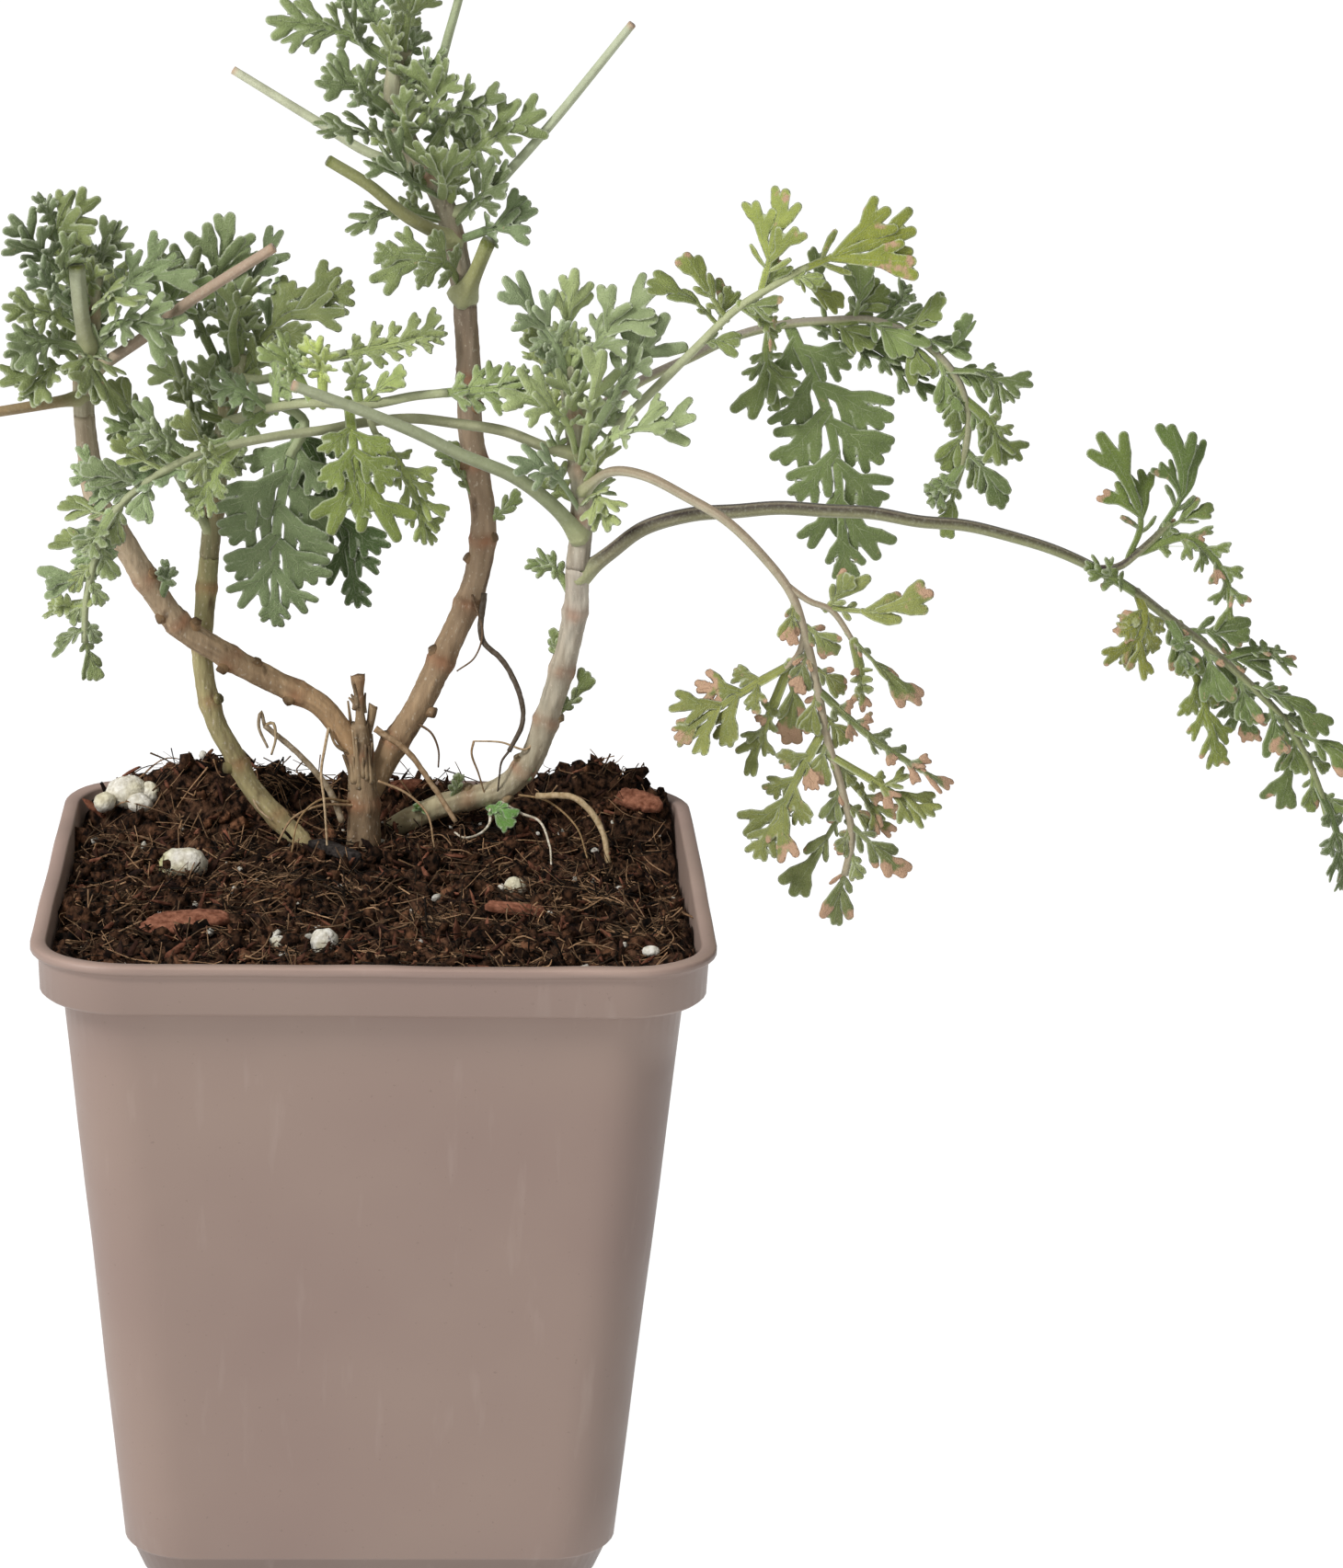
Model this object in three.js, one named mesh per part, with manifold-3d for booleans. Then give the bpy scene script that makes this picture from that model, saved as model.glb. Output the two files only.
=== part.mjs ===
// A potted silver-leaved artemisia: four pruned woody stems in a square nursery pot.
// Millimetres, +Z up. The origin is the centre of the pot's underside, -Y is the front.
import * as THREE from 'three';
import { mergeVertices } from 'three/addons/utils/BufferGeometryUtils.js';
import Module from 'manifold-3d';

const wasm = await Module();
wasm.setup();

// Driving dimensions of the pot
const POT_WIDTH = 90;
const POT_HEIGHT = 93.5;
const LIP_THICKNESS = 1.1;
const COLLAR_HEIGHT = 7;
const COLLAR_HALF = 43.8;
const BODY_TOP_HALF = 40.9;
const BODY_BASE_HALF = 33.6;
const FOOT_HEIGHT = 5.2;
const FOOT_TOP_HALF = 32.8;
const FOOT_BASE_HALF = 31.2;
const WALL = 1.1;
const FLOOR = 1.5;
const CORNER_STEPS = 3;
const DRAIN_PLACE = 25.5;
const DRAIN_RADIUS = 4.4;

// Driving dimensions of the plant
const GAP = 0.3;
const BLADE = 0.62;
const STALK_HALF = 0.25;
const SOIL_LEVEL = 90.6;
const ROOT_DEPTH = 24;
const STEM_SIDES = 6;
const PETIOLE_SIDES = 4;
const STRAND_SIDES = 4;
const STEM_STEP = 6;
const PETIOLE_STEP = 9.5;
const STRAND_STEP = 3;
const KNOT_SWELL = 0.07;
const MERGE_WITHIN = 1e-4;

// Driving dimensions of what lies on the soil
const PERLITE = [
  { name: 'perlite_back_left', at: [-36.2, 32.8, 94.6], size: [3.1, 2.4, 2.4] },
  { name: 'perlite_left', at: [-26.9, 7.2, 91.7], size: [3.3, 2.4, 2.3] },
  { name: 'perlite_front', at: [-6.6, -29.5, 92], size: [1.9, 1.6, 1.9] },
  { name: 'perlite_front_small', at: [-12.8, -28, 91.5], size: [1.4, 1.2, 1.1] },
  { name: 'perlite_right', at: [19.1, 0, 91], size: [1.5, 1.3, 1.4] },
];

const FLAKE_THICKNESS = 1.2;
const FLAKES = [
  { name: 'bark_chip', colour: 0x8a5138, turn: 0.12, tilt: 0.3, at: [-26, -20.4, 91.2],
    outline: [[-6.2, -2.2], [-1.5, -2.4], [3.5, -1.3], [6.4, -0.3], [6.2, 1.5], [1.5, 2.4], [-3.5, 1.6]] },
  { name: 'charred_twig', colour: 0x2d2723, turn: -0.85, tilt: 0, at: [-5.8, 13.8, 91.2],
    outline: [[-5, -0.9], [0, -1.1], [4.8, -0.5], [5, 0.5], [1, 1.1], [-4.5, 0.9]] },
];

const point = (p) => new THREE.Vector3(p[0], p[1], p[2]);
const routeCurve = (points) => new THREE.CatmullRomCurve3(points.map(point), false, 'centripetal');

// The same faces on shared corners, with nothing but positions
function merged(geometry) {
  const plain = geometry.clone();
  plain.deleteAttribute('normal');
  plain.deleteAttribute('uv');
  return mergeVertices(plain, MERGE_WITHIN);
}

function solidOf(geometry) {
  const shared = merged(geometry);
  return new wasm.Manifold(new wasm.Mesh({
    numProp: 3,
    vertProperties: new Float32Array(shared.attributes.position.array),
    triVerts: new Uint32Array(shared.index.array),
  }));
}

function indexedGeometry(positions, triangles) {
  const geometry = new THREE.BufferGeometry();
  geometry.setAttribute('position', new THREE.Float32BufferAttribute(positions, 3));
  geometry.setIndex(triangles);
  return geometry;
}

// The largest closed body of a solid: loose scraps and sealed hollows are left behind
function mainBody(solid) {
  const bodies = solid.decompose();
  bodies.sort((a, b) => b.volume() - a.volume());
  return bodies[0];
}

function geometryOf(solid) {
  const mesh = mainBody(solid).getMesh();
  const geometry = indexedGeometry(Array.from(mesh.vertProperties), Array.from(mesh.triVerts));
  geometry.computeVertexNormals();
  return geometry;
}

const joined = (solids) => solids.reduce((whole, solid) => whole.add(solid));
const cutBy = (solid, cutters) => cutters.reduce((rest, cutter) => rest.subtract(cutter), solid);

// Equal rings of points skinned into one body; the two end rings are capped with fans
function loft(rings) {
  const count = rings[0].length;
  const triangles = [];
  for (let r = 0; r + 1 < rings.length; r += 1) {
    for (let i = 0; i < count; i += 1) {
      const j = (i + 1) % count;
      const low = r * count;
      const high = low + count;
      triangles.push(low + i, low + j, high + j, low + i, high + j, high + i);
    }
  }
  const last = (rings.length - 1) * count;
  for (let i = 1; i + 1 < count; i += 1) {
    triangles.push(0, i + 1, i);
    triangles.push(last, last + i, last + i + 1);
  }
  return indexedGeometry(rings.flat(2), triangles);
}

// A tapering round stem along a route; knots swell it a little where leaves once stood
function tube(route, radii, sides, step, knots = 0, extra = 0) {
  const curve = routeCurve(route);
  const steps = Math.max(3, Math.round(curve.getLength() / step));
  const frames = curve.computeFrenetFrames(steps, false);
  const rings = [];
  for (let s = 0; s <= steps; s += 1) {
    const along = s / steps;
    const centre = curve.getPointAt(along);
    const taper = radii[0] + (radii[radii.length - 1] - radii[0]) * along;
    const bulge = radii.length === 3 ? radii[1] - (radii[0] + radii[2]) / 2 : 0;
    const radius = (taper + bulge * Math.sin(Math.PI * along)) * (1 + knots * (s % 2)) + extra;
    const ring = [];
    for (let i = 0; i < sides; i += 1) {
      const turn = (2 * Math.PI * i) / sides;
      const spot = centre.clone();
      spot.addScaledVector(frames.normals[s], radius * Math.cos(turn));
      spot.addScaledVector(frames.binormals[s], radius * Math.sin(turn));
      ring.push(spot.toArray());
    }
    rings.push(ring);
  }
  return solidOf(loft(rings));
}

// Outlines of a leaflet from its base out to its tip and back: [along, across] on its axis
const LOBES = {
  1: [[0.7, -1], [1, 0.1], [0.66, 1]],
  2: [[0.6, -1], [0.96, -0.6], [0.96, 0.6], [0.6, 1]],
  3: [[0.6, -1], [0.5, -0.34], [0.98, -0.42], [0.98, 0.42], [0.5, 0.34], [0.6, 1]],
};

function leaflet(start, end, tip, halfWidth, lobes) {
  const base = [(start[0] + end[0]) / 2, (start[1] + end[1]) / 2];
  const axis = [tip[0] - base[0], tip[1] - base[1]];
  const length = Math.hypot(axis[0], axis[1]);
  const cross = [-axis[1] / length, axis[0] / length];
  return LOBES[lobes].map(([along, across]) => [
    base[0] + axis[0] * along + cross[0] * across * halfWidth,
    base[1] + axis[1] * along + cross[1] * across * halfWidth,
  ]);
}

// Forms of leaf: where the stalk ends, the slants and reach of the leaflet pairs, their lobes,
// how full they are, and where the leaflet at the tip starts
const FORMS = {
  young: {
    stalk: 0.36, angles: [66, 42], reach: [0.85, 1], lobes: [1, 1],
    spread: 1.8, end: 0.6, endWidth: 0.42, endLobes: 2,
  },
  small: {
    stalk: 0.42, angles: [48], reach: [1], lobes: [1],
    spread: 1.6, end: 0.6, endWidth: 0.5, endLobes: 1,
  },
  broad: {
    stalk: 0.2, angles: [60, 50, 40], reach: [0.85, 1, 0.8], lobes: [3, 3, 1],
    spread: 1.08, end: 0.74, endWidth: 0.3, endLobes: 3,
  },
  comb: {
    stalk: 0.12, angles: [62, 56, 48, 40], reach: [0.8, 1, 0.9, 0.65], lobes: [1, 1, 1, 1],
    spread: 1, end: 0.8, endWidth: 0.4, endLobes: 2,
  },
  frond: {
    stalk: 0.06, angles: [64, 60, 56, 50, 42], reach: [0.75, 1, 1, 0.8, 0.55], lobes: [3, 3, 3, 3, 1],
    spread: 1.1, end: 0.84, endWidth: 0.26, endLobes: 3,
  },
};
const RIB_SHARE = 0.18;
const RIB_HALF_MOST = 0.45;
const LEAFLET_SHARE = 0.46;
const LEAFLET_SLIM = 0.44;

// The flat plan of a leaf: its points, its outline in order and its triangles
function leafPlan(length, half, form) {
  const shape = FORMS[form];
  const ribHalf = Math.min(RIB_HALF_MOST, half * RIB_SHARE);
  const pairs = shape.angles.length;
  const room = (shape.end - shape.stalk) * length;
  const stride = room / pairs;
  const stations = [0];
  for (let k = 0; k < pairs; k += 1) {
    stations.push(shape.stalk * length + stride * k);
  }
  stations.push(shape.end * length);
  const points = [];
  const triangles = [];
  const put = (spot) => points.push(spot) - 1;
  const fill = (corners) => {
    const contour = corners.map((c) => new THREE.Vector2(points[c][0], points[c][1]));
    for (const face of THREE.ShapeUtils.triangulateShape(contour, [])) {
      triangles.push(face.map((c) => corners[c]));
    }
  };
  const right = stations.map((u) => put([u, u > 0 ? -ribHalf : -STALK_HALF]));
  const left = stations.map((u) => put([u, u > 0 ? ribHalf : STALK_HALF]));
  for (let s = 0; s + 1 < stations.length; s += 1) {
    triangles.push([right[s], right[s + 1], left[s + 1]], [right[s], left[s + 1], left[s]]);
  }
  const side = (sign) => {
    const edge = sign < 0 ? right : left;
    const chain = [];
    for (let k = 0; k < pairs; k += 1) {
      const low = edge[k + 1];
      const high = edge[k + 2];
      const slant = THREE.MathUtils.degToRad(shape.angles[k]);
      const reach = half * shape.reach[k];
      const middle = (points[low][0] + points[high][0]) / 2;
      const tip = [middle + reach / Math.tan(slant), sign * (ribHalf + reach)];
      const axis = reach / Math.sin(slant);
      const width = Math.min(LEAFLET_SHARE * stride * Math.sin(slant) * shape.spread, LEAFLET_SLIM * axis);
      const ends = sign < 0 ? [low, high] : [high, low];
      const spots = leaflet(points[ends[0]], points[ends[1]], tip, width, shape.lobes[k]).map(put);
      fill([ends[0], ...spots, ends[1]]);
      chain.push({ ends, spots });
    }
    return chain;
  };
  const rightChain = side(-1);
  const leftChain = side(1).reverse();
  const count = stations.length - 1;
  const tipSpots = leaflet(points[right[count]], points[left[count]], [length, 0],
    half * shape.endWidth, shape.endLobes).map(put);
  fill([right[count], ...tipSpots, left[count]]);
  const outline = [right[0]];
  for (const { ends, spots } of rightChain) {
    outline.push(ends[0], ...spots);
  }
  outline.push(right[count], ...tipSpots, left[count]);
  for (const { ends, spots } of leftChain) {
    outline.push(...spots, ends[1]);
  }
  outline.push(left[0]);
  return { points, outline, triangles };
}

// Which way a leaf's upper face looks, and the way it looks where its rib points that way
const FACING = [0.05, -0.83, 0.55];
const FACING_END_ON = [0, 0.5, 0.85];
const END_ON = 0.85;
const CUP = 0.1;
const ROLL = 0.4;

// A leaf bent along its rib and thickened evenly, its edges cupped a little
function leaf(rib, half, form, roll) {
  const curve = rib.length > 2 ? routeCurve(rib) : new THREE.LineCurve3(point(rib[0]), point(rib[1]));
  const length = curve.getLength();
  const plan = leafPlan(length, half, form);
  const chord = point(rib[rib.length - 1]).sub(point(rib[0])).normalize();
  const facing = point(FACING);
  if (Math.abs(facing.dot(chord)) > END_ON) {
    facing.set(...FACING_END_ON);
  }
  const across = new THREE.Vector3().crossVectors(facing, chord).normalize();
  across.applyAxisAngle(chord, roll);
  const upper = [];
  const lower = [];
  for (const [u, v] of plan.points) {
    const along = Math.min(u / length, 1);
    const tangent = curve.getTangentAt(along);
    const side = across.clone().addScaledVector(tangent, -across.dot(tangent)).normalize();
    const normal = new THREE.Vector3().crossVectors(tangent, side);
    const spot = curve.getPointAt(along).addScaledVector(side, v);
    spot.addScaledVector(normal, (CUP * v * v) / half);
    upper.push(spot.clone().addScaledVector(normal, BLADE / 2).toArray());
    lower.push(spot.clone().addScaledVector(normal, -BLADE / 2).toArray());
  }
  const under = plan.points.length;
  const triangles = [];
  for (const [a, b, c] of plan.triangles) {
    triangles.push(a, b, c, under + a, under + c, under + b);
  }
  plan.outline.forEach((a, i) => {
    const b = plan.outline[(i + 1) % plan.outline.length];
    triangles.push(under + a, under + b, b, under + a, b, a);
  });
  return solidOf(indexedGeometry([...upper, ...lower].flat(), triangles));
}

// Rows of leaves: rib points from base to tip, half width, form; each is rolled its own way
function leaves(rows) {
  return rows.map(([rib, half, form = 'young'], i) => leaf(rib, half, form, ROLL * Math.sin(2.4 * i)));
}

// Square ring with round corners
function squareRing(half, corner, z) {
  const ring = [];
  for (let quarter = 0; quarter < 4; quarter += 1) {
    for (let step = 0; step <= CORNER_STEPS; step += 1) {
      const turn = (Math.PI / 2) * (quarter + step / CORNER_STEPS);
      const middle = (Math.PI / 2) * quarter + Math.PI / 4;
      const reach = (half - corner) * Math.SQRT2;
      ring.push([
        reach * Math.cos(middle) + corner * Math.cos(turn),
        reach * Math.sin(middle) + corner * Math.sin(turn),
        z,
      ]);
    }
  }
  return ring;
}

const lipHalf = POT_WIDTH / 2;
const collarFoot = POT_HEIGHT - COLLAR_HEIGHT;

// Corner radii of the pot: at its foot, its body, its collar and its lip, and of the soil in it
const FOOT_CORNER = 8.5;
const BODY_BASE_CORNER = 9.2;
const BODY_TOP_CORNER = 10.2;
const COLLAR_CORNER = 11.4;
const LIP_CORNER = 12;
const STEP = 0.2;

// One closed skin: up the outside, over the lip and down the inside to the floor
function potSolid() {
  const rings = [
    squareRing(FOOT_BASE_HALF, FOOT_CORNER, 0),
    squareRing(FOOT_TOP_HALF, FOOT_CORNER, FOOT_HEIGHT - STEP),
    squareRing(BODY_BASE_HALF, BODY_BASE_CORNER, FOOT_HEIGHT + STEP),
    squareRing(BODY_TOP_HALF, BODY_TOP_CORNER, collarFoot - 4 * STEP),
    squareRing(COLLAR_HALF, COLLAR_CORNER, collarFoot),
    squareRing(COLLAR_HALF + STEP, COLLAR_CORNER, POT_HEIGHT - LIP_THICKNESS - 4 * STEP),
    squareRing(lipHalf, LIP_CORNER, POT_HEIGHT - LIP_THICKNESS),
    squareRing(lipHalf, LIP_CORNER, POT_HEIGHT),
    squareRing(COLLAR_HALF - WALL + STEP, COLLAR_CORNER - WALL / 2, POT_HEIGHT),
    squareRing(COLLAR_HALF - WALL, COLLAR_CORNER - WALL, collarFoot + 3 * STEP),
    squareRing(BODY_TOP_HALF - WALL, BODY_TOP_CORNER - WALL, collarFoot - WALL),
    squareRing(BODY_BASE_HALF - WALL, BODY_BASE_CORNER - WALL, FOOT_HEIGHT + 2 * STEP),
    squareRing(FOOT_BASE_HALF - WALL, FOOT_CORNER - WALL, FLOOR),
  ];
  const drains = [[1, 1], [-1, 1], [-1, -1], [1, -1]].map(([x, y]) => {
    const drain = new THREE.CylinderGeometry(DRAIN_RADIUS, DRAIN_RADIUS, 3 * FLOOR, 8);
    drain.rotateX(Math.PI / 2);
    drain.translate(x * DRAIN_PLACE, y * DRAIN_PLACE, FLOOR / 2);
    return solidOf(drain);
  });
  return cutBy(solidOf(loft(rings)), drains);
}

// Heaps and hollows of the soil's surface: middle, half widths and height
const SOIL_SWELLS = [
  { x: -24, y: 37, wide: 17, deep: 8, high: 7.5 },
  { x: 31, y: 37, wide: 13, deep: 8, high: 7 },
  { x: 4, y: 39, wide: 12, deep: 6, high: 3.6 },
  { x: -10, y: -42, wide: 40, deep: 14, high: 1.2 },
  { x: 43, y: 10, wide: 9, deep: 15, high: -3 },
  { x: -43, y: 30, wide: 6, deep: 10, high: -2 },
];
const SOIL_INSET = WALL + GAP + 0.05;
const SOIL_RING_SHRINKS = [0.82, 0.62, 0.4, 0.16];

// Height of the soil: level at the front, heaped against the back rim, sunk at the right
function soilTop(x, y) {
  let height = SOIL_LEVEL;
  for (const swell of SOIL_SWELLS) {
    const away = ((x - swell.x) / swell.wide) ** 2 + ((y - swell.y) / swell.deep) ** 2;
    height += swell.high * Math.exp(-away);
  }
  const clods = 0.7 * Math.sin(0.55 * x + 1.3) * Math.cos(0.48 * y - 0.4);
  return height + clods + 0.4 * Math.sin(1.1 * x - 0.7 * y);
}

function soilSolid(holes) {
  const topHalf = COLLAR_HALF - SOIL_INSET;
  const topCorner = COLLAR_CORNER - SOIL_INSET;
  const edge = squareRing(topHalf, topCorner, 0).map(([x, y]) => [x, y, soilTop(x, y)]);
  const rings = [
    squareRing(FOOT_BASE_HALF - SOIL_INSET, FOOT_CORNER - SOIL_INSET, FLOOR + GAP),
    squareRing(BODY_BASE_HALF - SOIL_INSET, BODY_BASE_CORNER - SOIL_INSET, FOOT_HEIGHT + 4 * STEP),
    squareRing(BODY_TOP_HALF - SOIL_INSET, BODY_TOP_CORNER - SOIL_INSET, collarFoot - WALL + STEP),
    squareRing(topHalf, topCorner, collarFoot + 5 * STEP),
    edge,
  ];
  for (const shrink of SOIL_RING_SHRINKS) {
    rings.push(edge.map(([x, y]) => [x * shrink, y * shrink, soilTop(x * shrink, y * shrink)]));
  }
  return cutBy(solidOf(loft(rings)), holes);
}

// A lump of perlite: a ball of few faces, swollen here and there, half sunk in the soil
function lump({ at, size }, extra = 0) {
  const ball = merged(new THREE.DodecahedronGeometry(1));
  const spots = ball.attributes.position;
  for (let i = 0; i < spots.count; i += 1) {
    const swell = 1 + 0.13 * Math.sin(5 * i + at[0]);
    spots.setXYZ(
      i,
      at[0] + spots.getX(i) * (size[0] * swell + extra),
      at[1] + spots.getY(i) * (size[1] * swell + extra),
      at[2] + spots.getZ(i) * (size[2] * swell + extra),
    );
  }
  return solidOf(ball);
}

// A flake of bark or twig: an outline with some thickness, turned, tilted and half sunk in the soil
function flake({ outline, turn, tilt, at }, extra = 0) {
  const shape = new THREE.Shape(outline.map(([x, y]) => new THREE.Vector2(x, y)));
  const body = new THREE.ExtrudeGeometry(shape, {
    depth: FLAKE_THICKNESS,
    bevelEnabled: extra > 0,
    bevelThickness: extra,
    bevelSize: extra,
    bevelSegments: 1,
  });
  body.rotateZ(turn);
  body.rotateX(tilt);
  body.translate(at[0], at[1], at[2]);
  return solidOf(body);
}

// Routes of the woody stems, from below the soil upwards
const STUB = [[-2, 22, SOIL_LEVEL - ROOT_DEPTH], [-2, 22, 90], [-2, 22, 95.5], [-2.3, 22, 100.5]];
const STUB_LEFT = [[-2.3, 22, 98], [-2.5, 22, 107.5], [-3, 22, 115]];
const STUB_RIGHT = [[-2, 23, 98], [-1.2, 23.5, 106], [-1, 24, 112]];
const STEM_A = [[-2.5, 22, 103], [-8, 22, 110.5], [-14.5, 22, 114], [-20.5, 21, 117.5],
  [-27.5, 19.5, 122.5], [-31, 18, 127.5], [-35.5, 16, 135.5], [-39, 15, 141.5], [-40, 14, 148.5],
  [-40.5, 14, 153.5]];
const STEM_B = [[-7.5, 21.5, 74], [-10.5, 22.5, 90], [-13, 23, 92.5], [-18, 24, 98],
  [-20.5, 25, 102.5], [-23, 25.5, 107], [-24.5, 26, 112.5], [-25, 26, 118.5], [-24.5, 26, 125],
  [-24, 26, 131]];
const STEM_C = [[-1.8, 23, 97], [2, 25, 104], [5, 26, 108.5], [8, 27, 114.5], [10.5, 27.5, 120],
  [12.5, 28, 124.5], [14, 28, 130], [14.5, 28, 136.5], [13.5, 28, 143], [12.5, 28, 149.5],
  [12, 28, 159.5], [11.5, 28, 167]];
const STEM_D = [[-3, 30, 82], [2, 28.5, 90.5], [8, 28, 94], [11.5, 27, 95.5], [17.5, 26, 97.5],
  [21.5, 25, 102], [23.5, 24, 107.5], [25, 23, 113], [26.5, 22, 119.5], [27.5, 21, 125.5],
  [27.6, 20, 131.5]];

// Routes of the leafy tops of the stems
const SHOOT_A = [[-40.5, 14, 153.9], [-40.5, 14, 157.5], [-39.5, 14, 164], [-39.5, 14, 169],
  [-39, 14, 172.5]];
const SHOOT_B = [[-24, 26, 131.4], [-23, 26, 140], [-22.5, 26, 145], [-21.5, 26, 151.5],
  [-20.5, 26, 155.5], [-19.5, 26.5, 160]];
const SHOOT_C = [[11.5, 28, 167.4], [10.5, 28, 173], [9.5, 28, 177.5], [8, 28, 182], [4, 28, 188.5],
  [1.5, 28, 194], [1.5, 28, 199], [2.5, 28, 202.5]];
const SHOOT_D = [[27.6, 20, 131.9], [28, 20, 137], [28, 20, 141.5], [27.5, 20, 146.5],
  [26.5, 20, 153.5], [25.5, 20, 160]];

const woody = (route, radii, extra = 0) => tube(route, radii, STEM_SIDES, STEM_STEP, KNOT_SWELL, extra);
const petiole = (route, radii, extra = 0) => tube(route, radii, PETIOLE_SIDES, PETIOLE_STEP, 0, extra);
const strand = ({ route, radii }, extra = 0) => tube(route, radii, STRAND_SIDES, STRAND_STEP, 0, extra);

function crown(extra = 0) {
  return joined([
    woody(STUB, [1.6, 2.4, 2.1], extra),
    woody(STUB_LEFT, [1, 0.7, 0.85], extra),
    woody(STUB_RIGHT, [1.1, 0.8, 0.7], extra),
    woody(STEM_A, [1.5, 1.75, 1.45], extra),
    woody(STEM_C, [1.9, 1.8, 1.65], extra),
  ]);
}

const stemB = (extra = 0) => woody(STEM_B, [1.5, 1.45, 1.4], extra);
const stemD = (extra = 0) => woody(STEM_D, [1.5, 1.75, 1.65], extra);
const shootStemA = (extra = 0) => woody(SHOOT_A, [1.45, 1.3], extra);
const shootStemB = (extra = 0) => woody(SHOOT_B, [1.4, 1.2], extra);
const shootStemC = (extra = 0) => woody(SHOOT_C, [1.65, 1.3], extra);
const shootStemD = (extra = 0) => woody(SHOOT_D, [1.65, 1.25], extra);

const SHOOT_A_LEAVES = [
  [[[-39.5, 13.5, 170], [-44, 12, 178.5], [-38, 11, 184]], 3],
  [[[-43.4, 12, 177.5], [-46, 11, 184.5]], 1.5, 'small'],
  [[[-39.5, 13.5, 169.5], [-46, 11, 176.5], [-49.5, 8, 181.5]], 2.8],
  [[[-39.5, 13, 169], [-43, 9.5, 175], [-41.5, 8, 180]], 2.2, 'small'],
  [[[-39.5, 13.5, 164.5], [-45, 10, 168], [-51, 7, 169.5]], 2.6],
  [[[-39.5, 13, 162.5], [-45, 8.5, 164.5], [-50.5, 4, 163.5]], 2.8],
  [[[-40, 13, 159.5], [-44, 8, 161], [-48.5, 3, 158]], 3],
  [[[-40, 13, 161.5], [-39, 6, 162.5], [-38.5, 1.5, 157.5]], 3.7, 'young'],
  [[[-39.5, 14, 164], [-34.5, 7.5, 167.5], [-26.5, 5, 167]], 3.4],
  [[[-39.5, 14, 166.5], [-34, 13, 172], [-27, 13, 175.5]], 3.5],
  [[[-39, 14, 169], [-38, 15, 175], [-34.5, 14, 179.5]], 2.3, 'small'],
  [[[-39.5, 15, 166], [-39, 22, 169.5], [-38, 27, 172.5]], 2.7],
  [[[-39.5, 13, 167.5], [-36.5, 6, 171], [-32.5, 2, 171]], 2.2, 'small'],
];
const SHOOT_A_CUT = [[-39.8, 13.5, 163], [-40.5, 10.5, 168], [-41, 9, 175]];

const SHOOT_B_LEAVES = [
  [[[-20, 26.5, 157], [-22.5, 27, 168], [-21, 28, 179.5]], 3.5],
  [[[-21, 26, 155], [-26, 25, 166], [-28.5, 24, 175.5]], 3],
  [[[-20, 27, 158], [-18.5, 29, 169], [-14, 31, 176.5]], 2.8],
  [[[-20, 26, 157.5], [-20.5, 22, 164.5], [-18, 19, 172]], 2.8],
  [[[-20, 26, 157], [-14.5, 25, 164.5], [-4, 26, 169.5]], 4.6, 'broad'],
  [[[-20, 27, 156], [-15, 34, 163], [-10, 40, 166]], 3.4],
  [[[-21.3, 26, 152], [-23.5, 22, 156], [-25, 20, 161]], 1.5, 'small'],
  [[[-21.5, 26.5, 151.5], [-27, 30, 155], [-32.5, 33, 156.5]], 2.1, 'small'],
  [[[-21.5, 25.5, 150.5], [-26, 21, 153], [-28, 17, 157]], 2.4],
  [[[-22, 26.5, 148], [-24.5, 35, 152], [-27.5, 41, 153]], 2.6, 'small'],
];

const SHOOT_C_LEAVES = [
  [[[2, 28, 200.5], [-7, 27, 205], [-16, 25, 206.5]], 3.4],
  [[[2, 27.5, 199.5], [-3, 27, 203], [-6, 25, 209]], 1.6, 'small'],
  [[[2, 28, 200.5], [-2.5, 30, 208], [-6, 30, 215]], 3.4],
  [[[2.2, 28, 200], [3, 26.5, 207], [4.5, 25.5, 215]], 3.4],
  [[[1.7, 28, 197], [5, 26, 199.5], [8.5, 24, 203]], 1.7, 'small'],
  [[[1.5, 28, 193.5], [-2, 24, 196.5], [-8.5, 21, 200.5]], 2.9],
  [[[3, 28, 190], [-2, 23, 191.5], [-9, 20, 192]], 3.2],
  [[[3, 28, 190], [7, 24, 196], [8.5, 22, 202]], 2.7],
  [[[5, 28, 186.5], [11, 24, 195], [16.5, 21, 197]], 2.7],
  [[[8, 28, 182], [14, 24, 190.5], [22, 22, 195]], 2.8],
  [[[8, 28.5, 182], [11.5, 31, 188], [12, 32, 195]], 1.8, 'small'],
  [[[8, 28, 182], [3, 21, 185.5], [-2.5, 18, 188.5]], 3.4],
  [[[8, 28, 181.5], [8, 20, 185.5], [6.5, 17, 190.5]], 2.9],
  [[[9.5, 28, 178], [13.5, 23, 183], [18, 21, 187]], 3.2],
  [[[10, 28, 176], [15, 24, 178.5], [21, 22, 181.5]], 2.6, 'small'],
  [[[11, 28, 169.5], [8, 22.5, 174], [-1, 19, 175.5]], 3.8, 'broad'],
  [[[8, 28.5, 181], [9.5, 35, 185.5], [11.5, 40, 189]], 2.8],
  [[[1.5, 28.5, 194.5], [-2, 35, 197], [-4.5, 39.5, 198.5]], 2.4, 'small'],
];
const SHOOT_C_CUTS = [
  { route: [[10, 28, 176], [3, 22, 180.5], [-2, 19, 185], [-7.5, 17.5, 188.5]], radii: [1.1, 0.9, 0.8] },
  { route: [[11.2, 28, 168.5], [12.5, 25, 171.5], [14.5, 22, 177]], radii: [1.5, 1.1, 1.1] },
];

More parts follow.
